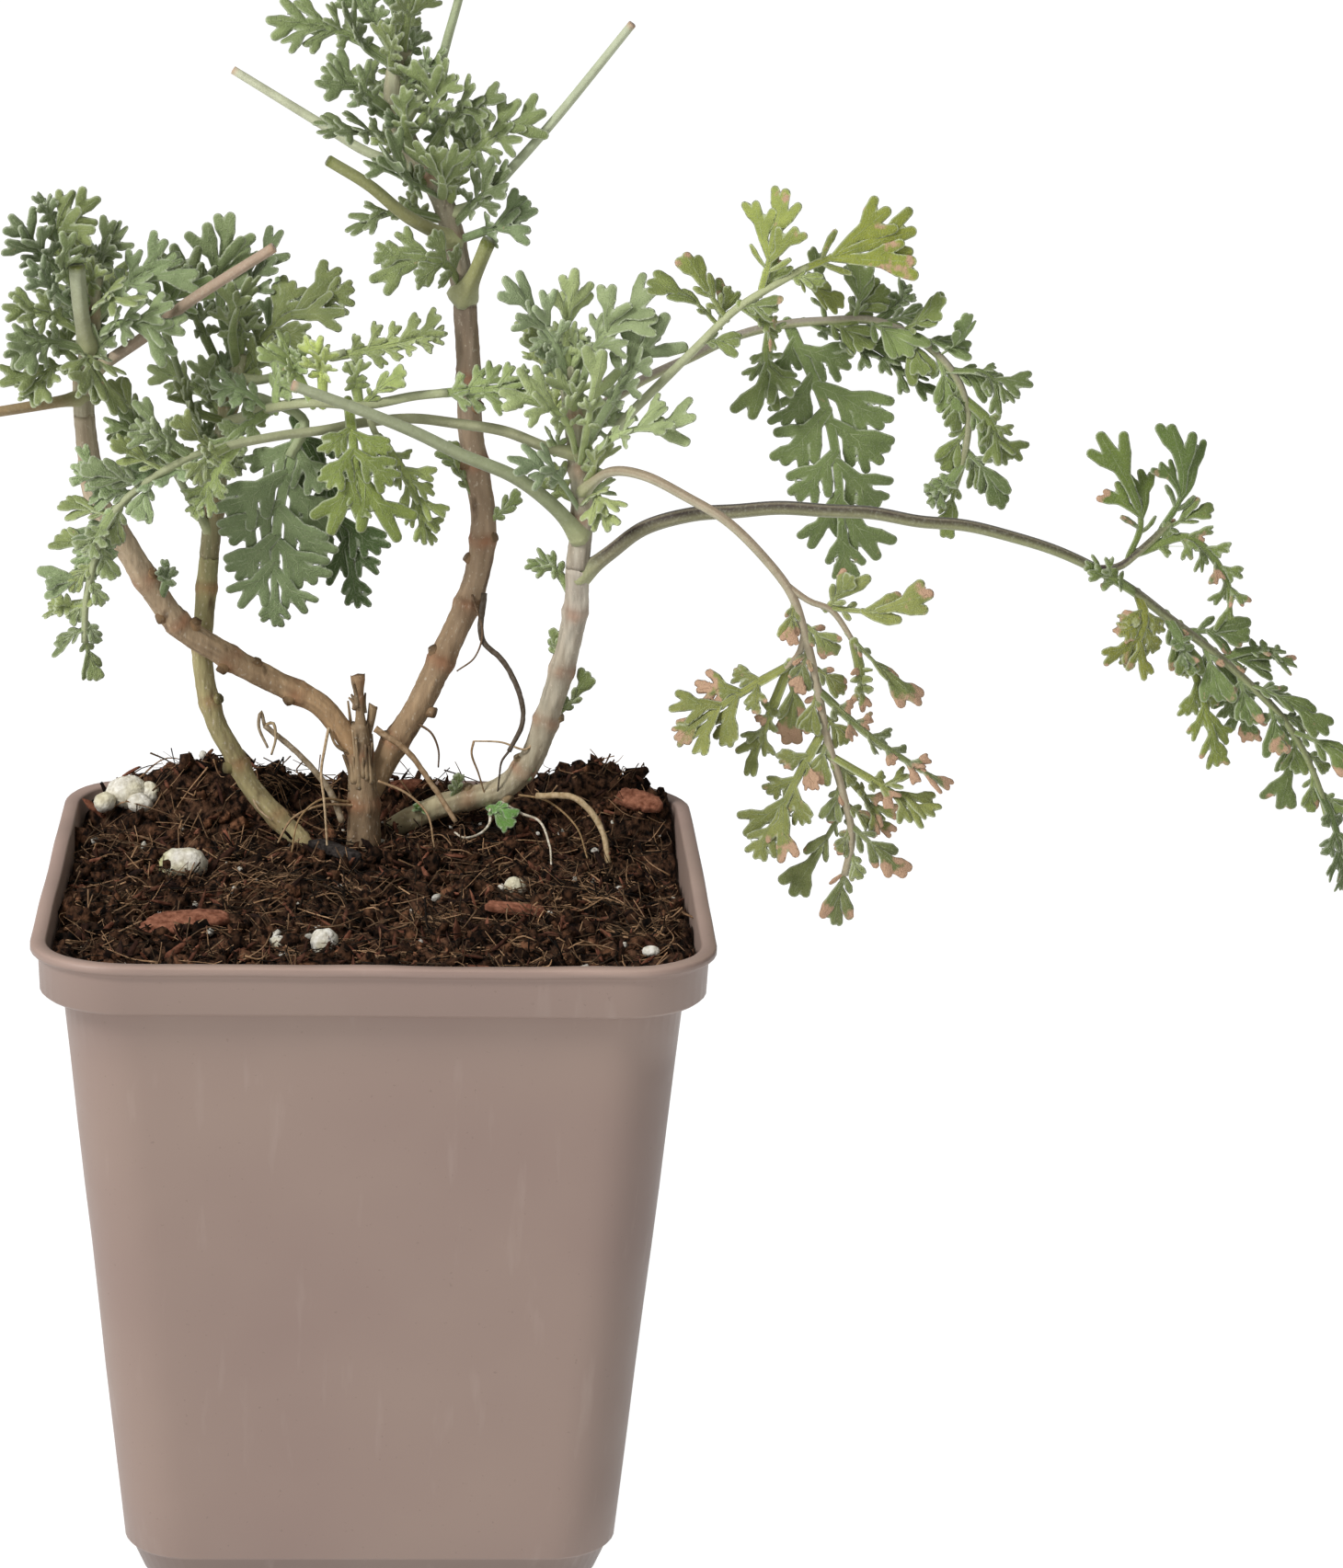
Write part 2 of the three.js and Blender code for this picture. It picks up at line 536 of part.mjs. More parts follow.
const SHOOT_D_LEAVES = [
  [[[26.6, 20, 153], [23.5, 18, 164], [16.5, 16, 173]], 3.2],
  [[[26.3, 20, 155], [25.3, 19, 165], [26.5, 18, 174]], 2.6],
  [[[26.6, 20, 153], [29.5, 17, 163.5], [37, 14, 172.5]], 3.4],
  [[[26.3, 20.5, 155], [22, 24, 160.5], [20, 25, 166]], 2.4],
  [[[27.5, 19.5, 146.5], [24.5, 14, 154.5], [16.5, 10, 158.5]], 3],
  [[[27.5, 19.5, 147.5], [33.5, 17, 159], [39, 15, 168.5]], 3.4],
  [[[27.6, 19.5, 145.5], [28.5, 14.5, 154], [30, 12.5, 164]], 1.6, 'small'],
  [[[27.5, 19.5, 146], [33, 13.5, 152], [43, 10.5, 155]], 2.7],
  [[[28, 19.5, 139.5], [23.5, 15.5, 146], [17, 13.5, 148]], 2.2, 'small'],
  [[[27.8, 19.5, 140.5], [30, 14, 143], [31.5, 10.5, 138.5]], 2.4, 'small'],
  [[[26.5, 20.5, 154], [25, 28, 159], [23, 33, 162.5]], 2.7, 'small'],
  [[[27.5, 20.5, 147], [31, 29, 150.5], [34.5, 35, 153]], 2.7, 'small'],
  [[[28, 20.5, 137], [29.5, 27, 140], [31.5, 33, 141]], 2.2, 'small'],
];

// Bare petioles whose blades were cut away, each ending in a flat cut
const CUT_PETIOLES = [
  { name: 'cut_petiole_a_left', from: [shootStemA], radii: [0.85, 0.7], colour: 0x9c8a66,
    route: [[-40.5, 14, 156], [-43.5, 11, 156], [-47, 9, 155.7], [-54, 6, 155]] },
  { name: 'cut_petiole_a_right', from: [shootStemA], radii: [0.9, 0.75], colour: 0x8f8b74,
    route: [[-40, 14, 159], [-37, 12, 161.5], [-31.5, 11, 165.5], [-26.5, 8.5, 170], [-14.5, 5, 178.5]] },
  { name: 'cut_petiole_c_right', from: [shootStemC], radii: [0.75, 0.6], colour: 0x9fae8b,
    route: [[9, 28, 179.5], [13.5, 27, 182], [18, 26, 187], [23.5, 23, 194], [33.5, 19, 207.5]] },
  { name: 'cut_petiole_c_top', from: [shootStemC], radii: [0.75, 0.6], colour: 0x93a37a,
    route: [[2.5, 28, 192.5], [7, 28, 199], [9, 28, 205.5], [11, 28, 213]] },
  { name: 'cut_petiole_c_left', from: [shootStemC], radii: [0.75, 0.6], colour: 0xa9b89b,
    route: [[5.5, 28.3, 186], [-2, 32, 187.5], [-8.5, 34, 191], [-21, 37, 198]] },
  { name: 'cut_petiole_d', from: [shootStemD], radii: [1.1, 0.9, 0.75], colour: 0x93a67c,
    route: [[28, 19.5, 136], [24, 17, 141], [18.5, 15, 145.5], [11, 13, 149], [4.5, 11, 152.5],
        [-2, 9, 155.5], [-12, 7, 159.5]] },
];

// Fronds: petiole routes with their radii, then the blades that stand on them
const FRONDS = [
  { name: 'frond_b_upper', from: [shootStemB], colour: 0x7f9a84,
    stalks: [{ route: [[-20.2, 26, 156.5], [-16, 24, 157], [-10.5, 23, 159.5], [-5, 23.5, 161]],
      radii: [0.7, 0.55] }],
    blades: [[[[-6.5, 23.4, 160.3], [1, 24, 162], [9, 23.5, 164]], 2.9, 'comb']] },
  { name: 'frond_b_right', from: [shootStemB], colour: 0x7f9a78,
    stalks: [{ route: [[-21.7, 25.5, 150], [-17, 18.5, 153.5], [-9.5, 12.5, 156], [-2, 12.5, 155.8],
        [4.5, 13, 157], [9, 13.6, 157.4]],
      radii: [0.8, 0.7, 0.6] },
    { route: [[-2, 12.5, 155.8], [-1, 12.2, 152.5], [0.5, 12.5, 150]], radii: [0.5, 0.45] }],
    blades: [
      [[[7.5, 13.4, 157.3], [16, 14.5, 158], [22, 15, 159]], 3.2, 'comb'],
      [[[-9.5, 12.5, 156], [-11.5, 12, 160], [-15, 11, 164.5]], 2.8],
      [[[-8, 12.5, 156], [-8, 11, 161], [-8.5, 10, 165.5]], 2.4],
      [[[-2.5, 12.5, 155.8], [0, 11.5, 158.5], [3.5, 10.5, 161]], 1.6, 'small'],
      [[[-4.5, 12.5, 156], [-3.5, 9.5, 149], [-2.5, 8.5, 141]], 5.1, 'broad'],
      [[[0, 12.4, 151], [4, 13, 145], [7, 13.5, 136]], 3.3, 'comb'],
    ] },
  { name: 'frond_b_drooping', from: [shootStemB], colour: 0x82a08a,
    stalks: [{ route: [[-20.8, 26, 154.5], [-16, 20, 154.8], [-10.5, 16, 152.5], [-12.5, 14.5, 148]],
      radii: [0.75, 0.65] }],
    blades: [
      [[[-11.2, 15.5, 151.5], [-14, 13.5, 140], [-14.5, 14, 124]], 7, 'frond'],
      [[[-11.8, 17, 152.5], [-5.5, 20.5, 138], [-3, 20.5, 125.5]], 5.3, 'frond'],
    ] },
  { name: 'frond_b_back', from: [shootStemB], colour: 0x6f8a70,
    stalks: [{ route: [[-23, 26, 142], [-25, 25.3, 149], [-27.5, 24, 156], [-30, 22, 165]],
      radii: [0.55, 0.45] }],
    blades: [[[[-29.7, 22.2, 163.5], [-29.5, 19.5, 168.5], [-27, 18, 172.5]], 3.7]] },
  { name: 'frond_b_low', from: [shootStemB], colour: 0x7c9676,
    stalks: [{ route: [[-23.6, 26, 134], [-26, 23.5, 139], [-28.5, 22, 144], [-33.5, 18, 153.5]],
      radii: [0.6, 0.45] }],
    blades: [[[[-33.2, 18.2, 152.8], [-35, 17, 155], [-37.5, 18.5, 158]], 2.2, 'small'],
      [[[-32.8, 18.5, 152], [-36.5, 16, 149.5]], 1.6, 'small']] },
  { name: 'frond_d_left', from: [shootStemD], colour: 0x8aa468,
    stalks: [{ route: [[27.5, 19.5, 148], [23.5, 17.5, 149], [17, 17, 151.5], [11, 16.5, 152.5],
        [4.5, 16.5, 153.2], [-2, 15.5, 152.8], [-8, 12, 152.3], [-13, 10, 152], [-20.5, 7, 151],
        [-26.5, 4, 149.5], [-32.5, 2, 146], [-36, 1, 142.5], [-38, 0, 137.5], [-39.5, 0, 131],
        [-39.8, 0, 125]], radii: [0.8, 0.65, 0.45] }],
    blades: [
      [[[-25.5, 4.5, 149.8], [-32, 2, 155]], 2.7],
      [[[-29, 3.2, 148.2], [-36.5, 1, 152.5]], 2, 'small'],
      [[[-32, 2.2, 146.4], [-36, 0, 148.3], [-40, -1, 149.5]], 2.2, 'small'],
      [[[-36, 1, 142.5], [-43, 1.5, 144]], 1.8, 'small'],
      [[[-37.6, 0.2, 138.5], [-43.8, 1.5, 139.3]], 1.8, 'small'],
      [[[-38.8, 0, 134], [-45, -1, 133.5]], 2.2, 'small'],
      [[[-39.7, 0, 127], [-43.8, -1, 124.8]], 1.8, 'small'],
      [[[-39.8, 0, 126], [-38.5, 1, 119.5]], 1.7, 'small'],
      [[[-22.5, 6.3, 150.6], [-25.5, 4, 153.3], [-27.5, 2, 156]], 1.8, 'small'],
    ] },
  { name: 'frond_d_upper', from: [shootStemD], colour: 0x9bb45a,
    stalks: [{ route: [[27.6, 20.5, 145.5], [30, 20.5, 147.5], [33.5, 20, 152.5], [38.5, 17.5, 158.5],
        [43.5, 14.5, 164.5], [48, 13, 169.5], [52, 12, 172.5], [58, 12, 176]],
      radii: [0.75, 0.65, 0.5] }],
    blades: [
      [[[47, 13.3, 168.4], [44.5, 12, 172], [41, 12, 177.5]], 1.8, 'small'],
      [[[46, 13.6, 167.3], [42, 13, 171], [36, 14, 173]], 1.7, 'small'],
      [[[51.5, 12.1, 172.2], [52.5, 11, 177], [54, 10, 186.5]], 4.1, 'broad'],
      [[[56, 12, 175], [62.5, 11, 178], [71, 10, 181]], 4.6, 'broad'],
      [[[56, 12, 175], [59, 14.5, 172.5], [63, 17, 169.5]], 2.2, 'small'],
    ] },
  { name: 'frond_d_arching', from: [shootStemD], colour: 0x6f9150,
    stalks: [{ route: [[26.6, 20.5, 153], [31, 22.5, 154.5], [36.5, 25, 157.5], [43, 26, 160.5],
        [49, 26, 163.5], [55.5, 25, 165.5], [61.5, 23, 166.5], [68, 21, 167], [74, 18, 165],
        [79, 16, 160.5], [81, 15, 155], [80.5, 14, 149], [79.5, 14, 145]],
    radii: [0.75, 0.65, 0.45] }],
    blades: [
      [[[54, 25.3, 165], [53.5, 23, 161.5], [54, 21, 156.5]], 3.2],
      [[[56.5, 24.8, 165.6], [62.5, 23, 152.5], [65.5, 22, 130]], 7.5, 'frond'],
      [[[59, 24, 166.2], [68, 20, 162.5], [76.5, 17.5, 157.5]], 3.4, 'comb'],
      [[[61.5, 23, 166.5], [60.5, 24, 171], [59.5, 25, 176.5]], 2.1, 'small'],
      [[[65.5, 21.8, 166.9], [66, 20.5, 171.5], [65.5, 20, 175.5]], 2.1, 'small'],
      [[[72, 19, 166], [74.5, 15.5, 168.5], [77.5, 13, 171.5]], 2.4, 'small'],
      [[[77, 17, 163], [79.5, 15, 165.5], [80, 13, 169.5]], 2.2, 'small'],
      [[[78.5, 16.2, 161], [83, 14, 161], [87, 12, 157.5]], 2.8],
      [[[80, 15.6, 157.6], [84, 14, 154], [86.5, 13, 148.5]], 2.7],
      [[[80.6, 14.3, 150.5], [83.5, 13, 147.5], [86, 12, 142.5]], 2.2, 'small'],
      [[[79.8, 14, 146.5], [79, 14, 142.5], [78, 14, 138]], 1.8, 'small'],
    ] },
  { name: 'frond_d_front', from: [shootStemD], colour: 0x8fa56e,
    stalks: [{ route: [[27.9, 19.5, 142.5], [31.5, 15, 146.3], [36, 10, 147], [42, 5, 145],
        [47, 2.5, 142.5], [52, 1, 138], [56, 0, 133], [58, 0, 127.5], [60, 0, 120], [61.5, 0, 113],
        [64, 0, 105], [65.5, 0, 98.5], [64.7, 0, 93]], radii: [0.7, 0.6, 0.5] },
    { route: [[54.5, 0.4, 134.8], [58.5, 0, 132], [61.5, 0, 130.8], [65.3, -0.3, 125.5]], radii: [0.5, 0.4] },
    { route: [[58, 0, 127.5], [57.4, 0.5, 124.5], [55.5, 1, 122]], radii: [0.5, 0.45] }],
    blades: [
      [[[60.8, 0, 131.1], [68, -1, 131], [75, -2, 134]], 2.2, 'small'],
      [[[61, 0, 131], [64.5, -1, 136]], 2.1, 'small'],
      [[[64, -0.2, 127.3], [69, -1, 122.5], [74.5, -2, 118.5]], 1.8, 'small'],
      [[[56, 0.9, 122.6], [49, 0, 118.5], [40.5, -2, 113]], 4.6, 'broad'],
      [[[55.8, 0.8, 122.6], [57, 2.5, 117.5], [56.5, 3, 110.5]], 2.3, 'small'],
      [[[60.1, 0, 119.5], [67, -1, 113.5], [78.5, -3, 106.5]], 2.4, 'comb'],
      [[[61.2, 0, 114], [57.5, 0, 106.5], [52.5, -1, 95.5]], 4.1, 'broad'],
      [[[62.4, 0, 110], [69.5, -1, 106], [76.5, -2, 102]], 2.9],
      [[[65, 0, 100.5], [68.5, -1, 97.5], [73, -2, 93.5]], 2.3, 'small'],
      [[[64.5, 0, 103], [61.5, 2, 96.5], [57.5, 3, 89]], 1.8, 'small'],
      [[[64.9, 0, 94.5], [64, 0, 90.5], [63, 0, 86]], 2.6, 'small'],
    ] },
  { name: 'frond_d_long', from: [stemD, shootStemD], colour: 0x7d8c55,
    stalks: [{ route: [[27.6, 20.5, 130], [32, 19, 134], [36.5, 17, 138], [43, 15, 140.5],
        [49, 13, 141.5], [55, 11, 142.5], [61.5, 9.5, 142.5], [67.5, 8.5, 142.5], [74, 8, 141.5],
        [80.5, 8, 141], [87, 8, 139.5], [93.5, 8, 137.5], [100, 8, 134.5], [105, 8, 131.5],
        [109, 8, 128.5], [114.5, 8, 124.5], [120, 8, 120], [127, 8, 113], [131.5, 8, 105],
        [133.5, 8, 99]], radii: [1.15, 0.8, 0.45] },
    { route: [[99, 8, 135.1], [102, 8, 135.5], [104.5, 8, 137.5], [109, 9, 141.5]], radii: [0.6, 0.5] }],
    blades: [
      [[[103, 8, 136.2], [104.5, 7, 142.5], [98, 6, 154.5]], 2.9, 'comb'],
      [[[107.5, 8.7, 140.3], [110.5, 9.5, 146], [108.5, 10, 155]], 2.7],
      [[[107.5, 8.7, 140.3], [115, 10, 144]], 1.8, 'small'],
      [[[104.5, 8, 137.5], [111.5, 9, 139.5], [117.5, 10, 133], [118, 10, 125.5]], 2.7, 'comb'],
      [[[104.8, 8, 131.6], [105.5, 5.5, 128.5], [103, 4, 124]], 3.5],
      [[[111, 8, 127], [114, 7, 118.5], [117.5, 6, 107.5]], 2.9, 'comb'],
      [[[116, 8, 123.3], [120, 10, 117], [122.5, 12, 110]], 2.9],
      [[[121, 8, 119], [126.5, 5.5, 117], [132, 4, 113]], 2.2, 'small'],
      [[[126, 8, 114], [128, 11, 107], [127.5, 13, 99.5]], 2.3, 'small'],
      [[[127.5, 8, 112.2], [131.5, 5, 111], [136, 3, 107.5]], 2, 'small'],
      [[[132, 8, 103.5], [134.5, 7, 98], [136, 6, 89.5]], 2.9],
    ] },
];

// Wiry roots and dry stalks about the crown
const STRANDS = [
  { name: 'root_wiry', radii: [0.45, 0.35], colour: 0x6b5546,
    route: [[14.7, 25.2, 126.5], [14.5, 24.5, 120], [17.5, 23.5, 117], [20, 23, 112], [20.3, 23, 108],
        [18.5, 23, 104]] },
  { name: 'root_tan', radii: [0.5, 0.4], colour: 0xa88b66,
    route: [[22.5, 21, 98], [28, 18, 98.5], [31.5, 15, 95], [32.5, 12, 90.8]] },
  { name: 'dry_stalk_left', radii: [0.5, 0.4], colour: 0x9a7f5f,
    route: [[-5, 20, 94.2], [-7, 20, 99], [-11.5, 19.5, 104.5], [-16, 19, 108.5]] },
  { name: 'dry_stalk_right', radii: [0.5, 0.35], colour: 0xa98c68,
    route: [[-0.5, 19.8, 108], [4, 19, 105], [7.5, 18, 100.5], [11, 16, 95.5]] },
];

const group = new THREE.Group();

function addPart(name, solid, colour, roughness = 0.85) {
  const material = new THREE.MeshStandardMaterial({ color: colour, roughness, metalness: 0 });
  const mesh = new THREE.Mesh(geometryOf(solid), material);
  mesh.name = name;
  group.add(mesh);
}

addPart('pot', potSolid(), 0x9b8a7d, 0.5);
addPart('soil', soilSolid([
  crown(GAP),
  stemB(GAP),
  stemD(GAP),
  ...PERLITE.map((item) => lump(item, GAP)),
  ...FLAKES.map((item) => flake(item, GAP)),
  ...STRANDS.map((item) => strand(item, GAP)),
]), 0x3a261d, 1);
addPart('crown_with_stems_a_c', crown(), 0x8d765e);
addPart('stem_b', stemB(), 0x7d7350);
addPart('stem_d', cutBy(stemD(), [crown(GAP)]), 0x8f8377);

for (const item of PERLITE) {
  addPart(item.name, lump(item), 0xe9e4d8, 0.95);
}
for (const item of FLAKES) {
  addPart(item.name, flake(item), item.colour, 0.9);
}

addPart('leafy_shoot_a', joined([
  shootStemA(), petiole(SHOOT_A_CUT, [1.1, 1.15]), ...leaves(SHOOT_A_LEAVES),
]), 0x84997f);
addPart('leafy_shoot_b', joined([shootStemB(), ...leaves(SHOOT_B_LEAVES)]), 0x7f957b);
addPart('leafy_shoot_c', joined([
  shootStemC(), ...SHOOT_C_CUTS.map(({ route, radii }) => petiole(route, radii)), ...leaves(SHOOT_C_LEAVES),
]), 0x7b9480);
addPart('leafy_shoot_d', joined([shootStemD(), ...leaves(SHOOT_D_LEAVES)]), 0x88a080);

for (const { name, route, radii, from, colour } of CUT_PETIOLES) {
  addPart(name, cutBy(petiole(route, radii), from.map((stem) => stem(GAP))), colour);
}
for (const { name, stalks, blades, from, colour } of FRONDS) {
  const whole = joined([...stalks.map(({ route, radii }) => petiole(route, radii)), ...leaves(blades)]);
  addPart(name, cutBy(whole, from.map((stem) => stem(GAP))), colour);
}
for (const item of STRANDS) {
  addPart(item.name, cutBy(strand(item), [crown(GAP), stemD(GAP)]), item.colour);
}

export default group;
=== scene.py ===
# A potted silver-leaved artemisia: its looks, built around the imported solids.
# Places and sizes are millimetres, as in the part's source, and meshes are made in metres. A share is a part
# of a length or an amount, from 0 to 1. Colours are written as on a screen.
import math
import bpy
import numpy as np
from mathutils import Matrix, Vector, noise


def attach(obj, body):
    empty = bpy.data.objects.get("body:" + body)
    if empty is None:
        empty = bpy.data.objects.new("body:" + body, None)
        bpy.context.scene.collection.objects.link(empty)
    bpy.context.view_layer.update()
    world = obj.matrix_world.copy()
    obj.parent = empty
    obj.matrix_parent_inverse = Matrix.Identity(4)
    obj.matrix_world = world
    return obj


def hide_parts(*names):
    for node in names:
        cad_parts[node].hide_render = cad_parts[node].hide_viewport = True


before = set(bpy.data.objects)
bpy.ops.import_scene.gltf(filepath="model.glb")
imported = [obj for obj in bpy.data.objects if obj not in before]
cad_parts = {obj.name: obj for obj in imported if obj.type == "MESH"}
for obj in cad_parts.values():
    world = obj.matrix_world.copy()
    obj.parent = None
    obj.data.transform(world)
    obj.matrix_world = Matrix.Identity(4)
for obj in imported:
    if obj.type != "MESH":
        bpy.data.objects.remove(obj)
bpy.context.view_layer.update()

MM = 0.001

# The photograph's view: image height and focal length in pixels, angles in radians
IMAGE_HEIGHT = 1705
FOCAL_PX = 5139.3
SENSOR = 36
VIEW_AZIMUTH = 0.060
VIEW_ELEVATION = 0.275
VIEW_ROLL = 0.026
VIEW_DISTANCE = 650.2
VIEW_TARGET = Vector((40.36, 0, 105.89))

# Pot, as in the part's source
POT_WIDTH = 90
POT_HEIGHT = 93.5
LIP_THICKNESS = 1.1
COLLAR_HEIGHT = 7
COLLAR_HALF = 43.8
BODY_TOP_HALF = 40.9
BODY_BASE_HALF = 33.6
FOOT_HEIGHT = 5.2
FOOT_TOP_HALF = 32.8
FOOT_BASE_HALF = 31.2
FOOT_CORNER = 8.5
BODY_BASE_CORNER = 9.2
BODY_TOP_CORNER = 10.2
COLLAR_CORNER = 11.4
LIP_CORNER = 12
WALL = 1.1
FLOOR = 1.5
DRAIN_PLACE = 25.5
DRAIN_RADIUS = 4.4
STEP = 0.2
COLLAR_FOOT = POT_HEIGHT - COLLAR_HEIGHT
LIP_FOOT = POT_HEIGHT - LIP_THICKNESS
LIP_HALF = POT_WIDTH / 2
BODY_FOOT = FOOT_HEIGHT + 2 * STEP

# Soil: its level, its clearance from the pot, and its swells as x, y, width, depth and height
SOIL_LEVEL = 90.6
SOIL_GAP = 0.3
SOIL_INSET = WALL + SOIL_GAP + 0.05
SOIL_SWELLS = (
    (-24, 37, 17, 8, 7.5), (31, 37, 13, 8, 7), (-10, -42, 40, 14, 1.2), (43, 10, 9, 15, -3),
    (-43, 30, 6, 10, -2), (4, 39, 12, 6, 3.6),
)

# The way leaves face, and the way they face instead if they run nearly along it, and the rows' roll
FACING = np.array((0.05, -0.83, 0.55))
FACING_END_ON = np.array((0, 0.5, 0.85))
END_ON = 0.85
ROLL = 0.4

# A woody stem's knot, with its scar above it, and the grain's waves round and along the stem
KNOT_SWELL = 0.16
KNOT_HALF = 1.1
SCAR_HALF = 0.4
SCAR_PLACE = 1.5
GRAIN_ROUND = 4.2
GRAIN_ALONG = 0.24

# How sharply a leaf's arms join in outline and in height, how round the edge is, how far its pale margin
# reaches, a vein's share of an arm and limits of its half width, and the limits of a lobe's half width
WEB = 0.05
BLEND = 0.3
ROUNDING = 0.3
MARGIN = 0.5
VEIN_SHARE = 0.1
VEIN_HALVES = (0.05, 0.12)
LOBE_HALVES = (0.42, 1.0)

# A division of a leaf: where its axis bends, its half widths there beyond neck and body, in lobes, the turn
# back towards the leaf's rib, and where its lobes end
KNEES = np.array((0, 0.4, 0.8, 1.06))
TIP_HALVES = (1.08, 0.8)
TURN_BACK = 0.3
LOBES_END = 0.86

# Stage: half width of the floor and colours of its cloudy surface, the side the sky is brightest on and its
# strength there, what the lamps aim at in metres, and each lamp's place, size and power
FLOOR_HALF = 40
FLOOR_TONES = ((0.15, 0.15, 0.15), (0.17, 0.17, 0.17))
FLOOR_GLOW = 0.98
SKY_SIDE = (-0.75, -0.5, 0.43)
SKY_STRENGTH = 0.6
LAMP_AIM = Vector((0.02, 0, 0.12))
LAMPS = {"key": ((-0.75, -0.7, 1.0), 0.3, 12.5), "fill": ((-1.0, -0.95, 0.3), 0.8, 2.8)}


def rgb(code):
    """Linear red, green and blue of a colour written as on a screen."""
    parts = [int(code[i:i + 2], 16) / 255 for i in (0, 2, 4)]
    return np.array([c / 12.92 if c <= 0.04045 else ((c + 0.055) / 1.055) ** 2.4 for c in parts])


def unit(vectors):
    return vectors / np.maximum(np.linalg.norm(vectors, axis=-1, keepdims=True), 1e-9)


def rough(spots, scale, seed=0.0):
    """Smooth noise from -1 to 1 at each spot."""
    flat = np.asarray(spots, float).reshape(-1, 3) * scale + seed
    values = [noise.noise(Vector(spot)) for spot in flat]
    return np.array(values).reshape(np.shape(spots)[:-1])


def lengths(spots):
    return np.concatenate([[0], np.cumsum(np.linalg.norm(np.diff(spots, axis=0), axis=1))])


def spline(points, count):
    """Evenly spaced spots on a smooth centripetal curve through the points."""
    p = np.array(points, float)
    if len(p) == 2:
        return p[0] + (p[1] - p[0]) * np.linspace(0, 1, count)[:, None]
    p = np.vstack([2 * p[0] - p[1], p, 2 * p[-1] - p[-2]])
    knots = np.concatenate([[0], np.cumsum(np.sqrt(np.linalg.norm(np.diff(p, axis=0), axis=1)))])
    fine = [p[1][None]]
    for i in range(1, len(p) - 2):
        t = np.linspace(knots[i], knots[i + 1], 21)[1:, None]

        def blend(a, b, low, high):
            return ((high - t) * a + (t - low) * b) / (high - low)

        k = knots[i - 1:i + 3]
        first = blend(p[i - 1], p[i], k[0], k[1])
        second = blend(p[i], p[i + 1], k[1], k[2])
        third = blend(p[i + 1], p[i + 2], k[2], k[3])
        fine.append(blend(blend(first, second, k[0], k[2]), blend(second, third, k[1], k[3]), k[1], k[2]))
    fine = np.vstack(fine)
    along = lengths(fine)
    wanted = np.linspace(0, along[-1], count)
    return np.stack([np.interp(wanted, along, fine[:, i]) for i in range(3)], axis=1)


class Bag:
    """A mesh in the making: spots, each with a colour, an edge and a dry value, and their faces."""

    def __init__(self):
        self.spots = []
        self.faces = []
        self.paint = []
        self.edge = []
        self.dry = []
        self.count = 0

    def add(self, rings, paint, edge=0.0, dry=0.0):
        """Closed strips skinned over rings of spots: one strip of rings, or several alike."""
        rings = np.asarray(rings, float)
        if rings.ndim == 3:
            rings = rings[None]
        shape = rings.shape[:3]
        strips, rows, sides = shape
        low = np.arange(rows - 1)[:, None] * sides
        i = np.arange(sides)[None]
        j = (i + 1) % sides
        quads = np.stack([low + i, low + sides + i, low + sides + j, low + j], axis=-1).reshape(-1, 4)
        starts = np.arange(strips)[:, None] * rows * sides
        skin = (quads[None] + starts[:, :, None]).reshape(-1, 4)
        caps = np.vstack([starts + i, starts + (rows - 1) * sides + i[:, ::-1]])
        values = [np.broadcast_to(value, shape).reshape(-1) for value in (edge, dry)]
        colours = np.broadcast_to(paint, shape + (3,)).reshape(-1, 3)
        self.add_mesh(rings.reshape(-1, 3), (skin, caps), colours, *values)

    def add_mesh(self, spots, faces, paint, edge, dry):
        """Spots and the faces between them, in one list for each number of corners."""
        for alike in faces:
            self.faces += (alike + self.count).tolist()
        self.spots.append(spots)
        self.paint.append(paint)
        self.edge.append(edge)
        self.dry.append(dry)
        self.count += len(spots)

    def piece(self, name, material, slot, nodes=()):
        """The bag's mesh as a piece of the object that rides on the frame and stands for the nodes."""
        mesh = bpy.data.meshes.new(name)
        mesh.from_pydata((np.vstack(self.spots) * MM).tolist(), [], self.faces)
        paint = mesh.attributes.new("paint", "FLOAT_COLOR", "POINT")
        colours = np.vstack(self.paint)
        paint.data.foreach_set("color", np.hstack([colours, np.ones((len(colours), 1))]).ravel())
        for kind, values in (("edge", self.edge), ("dry", self.dry)):
            mesh.attributes.new(kind, "FLOAT", "POINT").data.foreach_set("value", np.concatenate(values))
        mesh.polygons.foreach_set("use_smooth", [True] * len(mesh.polygons))
        mesh.materials.append(material)
        mesh.update()
        piece = bpy.data.objects.new(name, mesh)
        bpy.context.scene.collection.objects.link(piece)
        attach(piece, "root")
        if nodes:
            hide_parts(*nodes)
        return piece


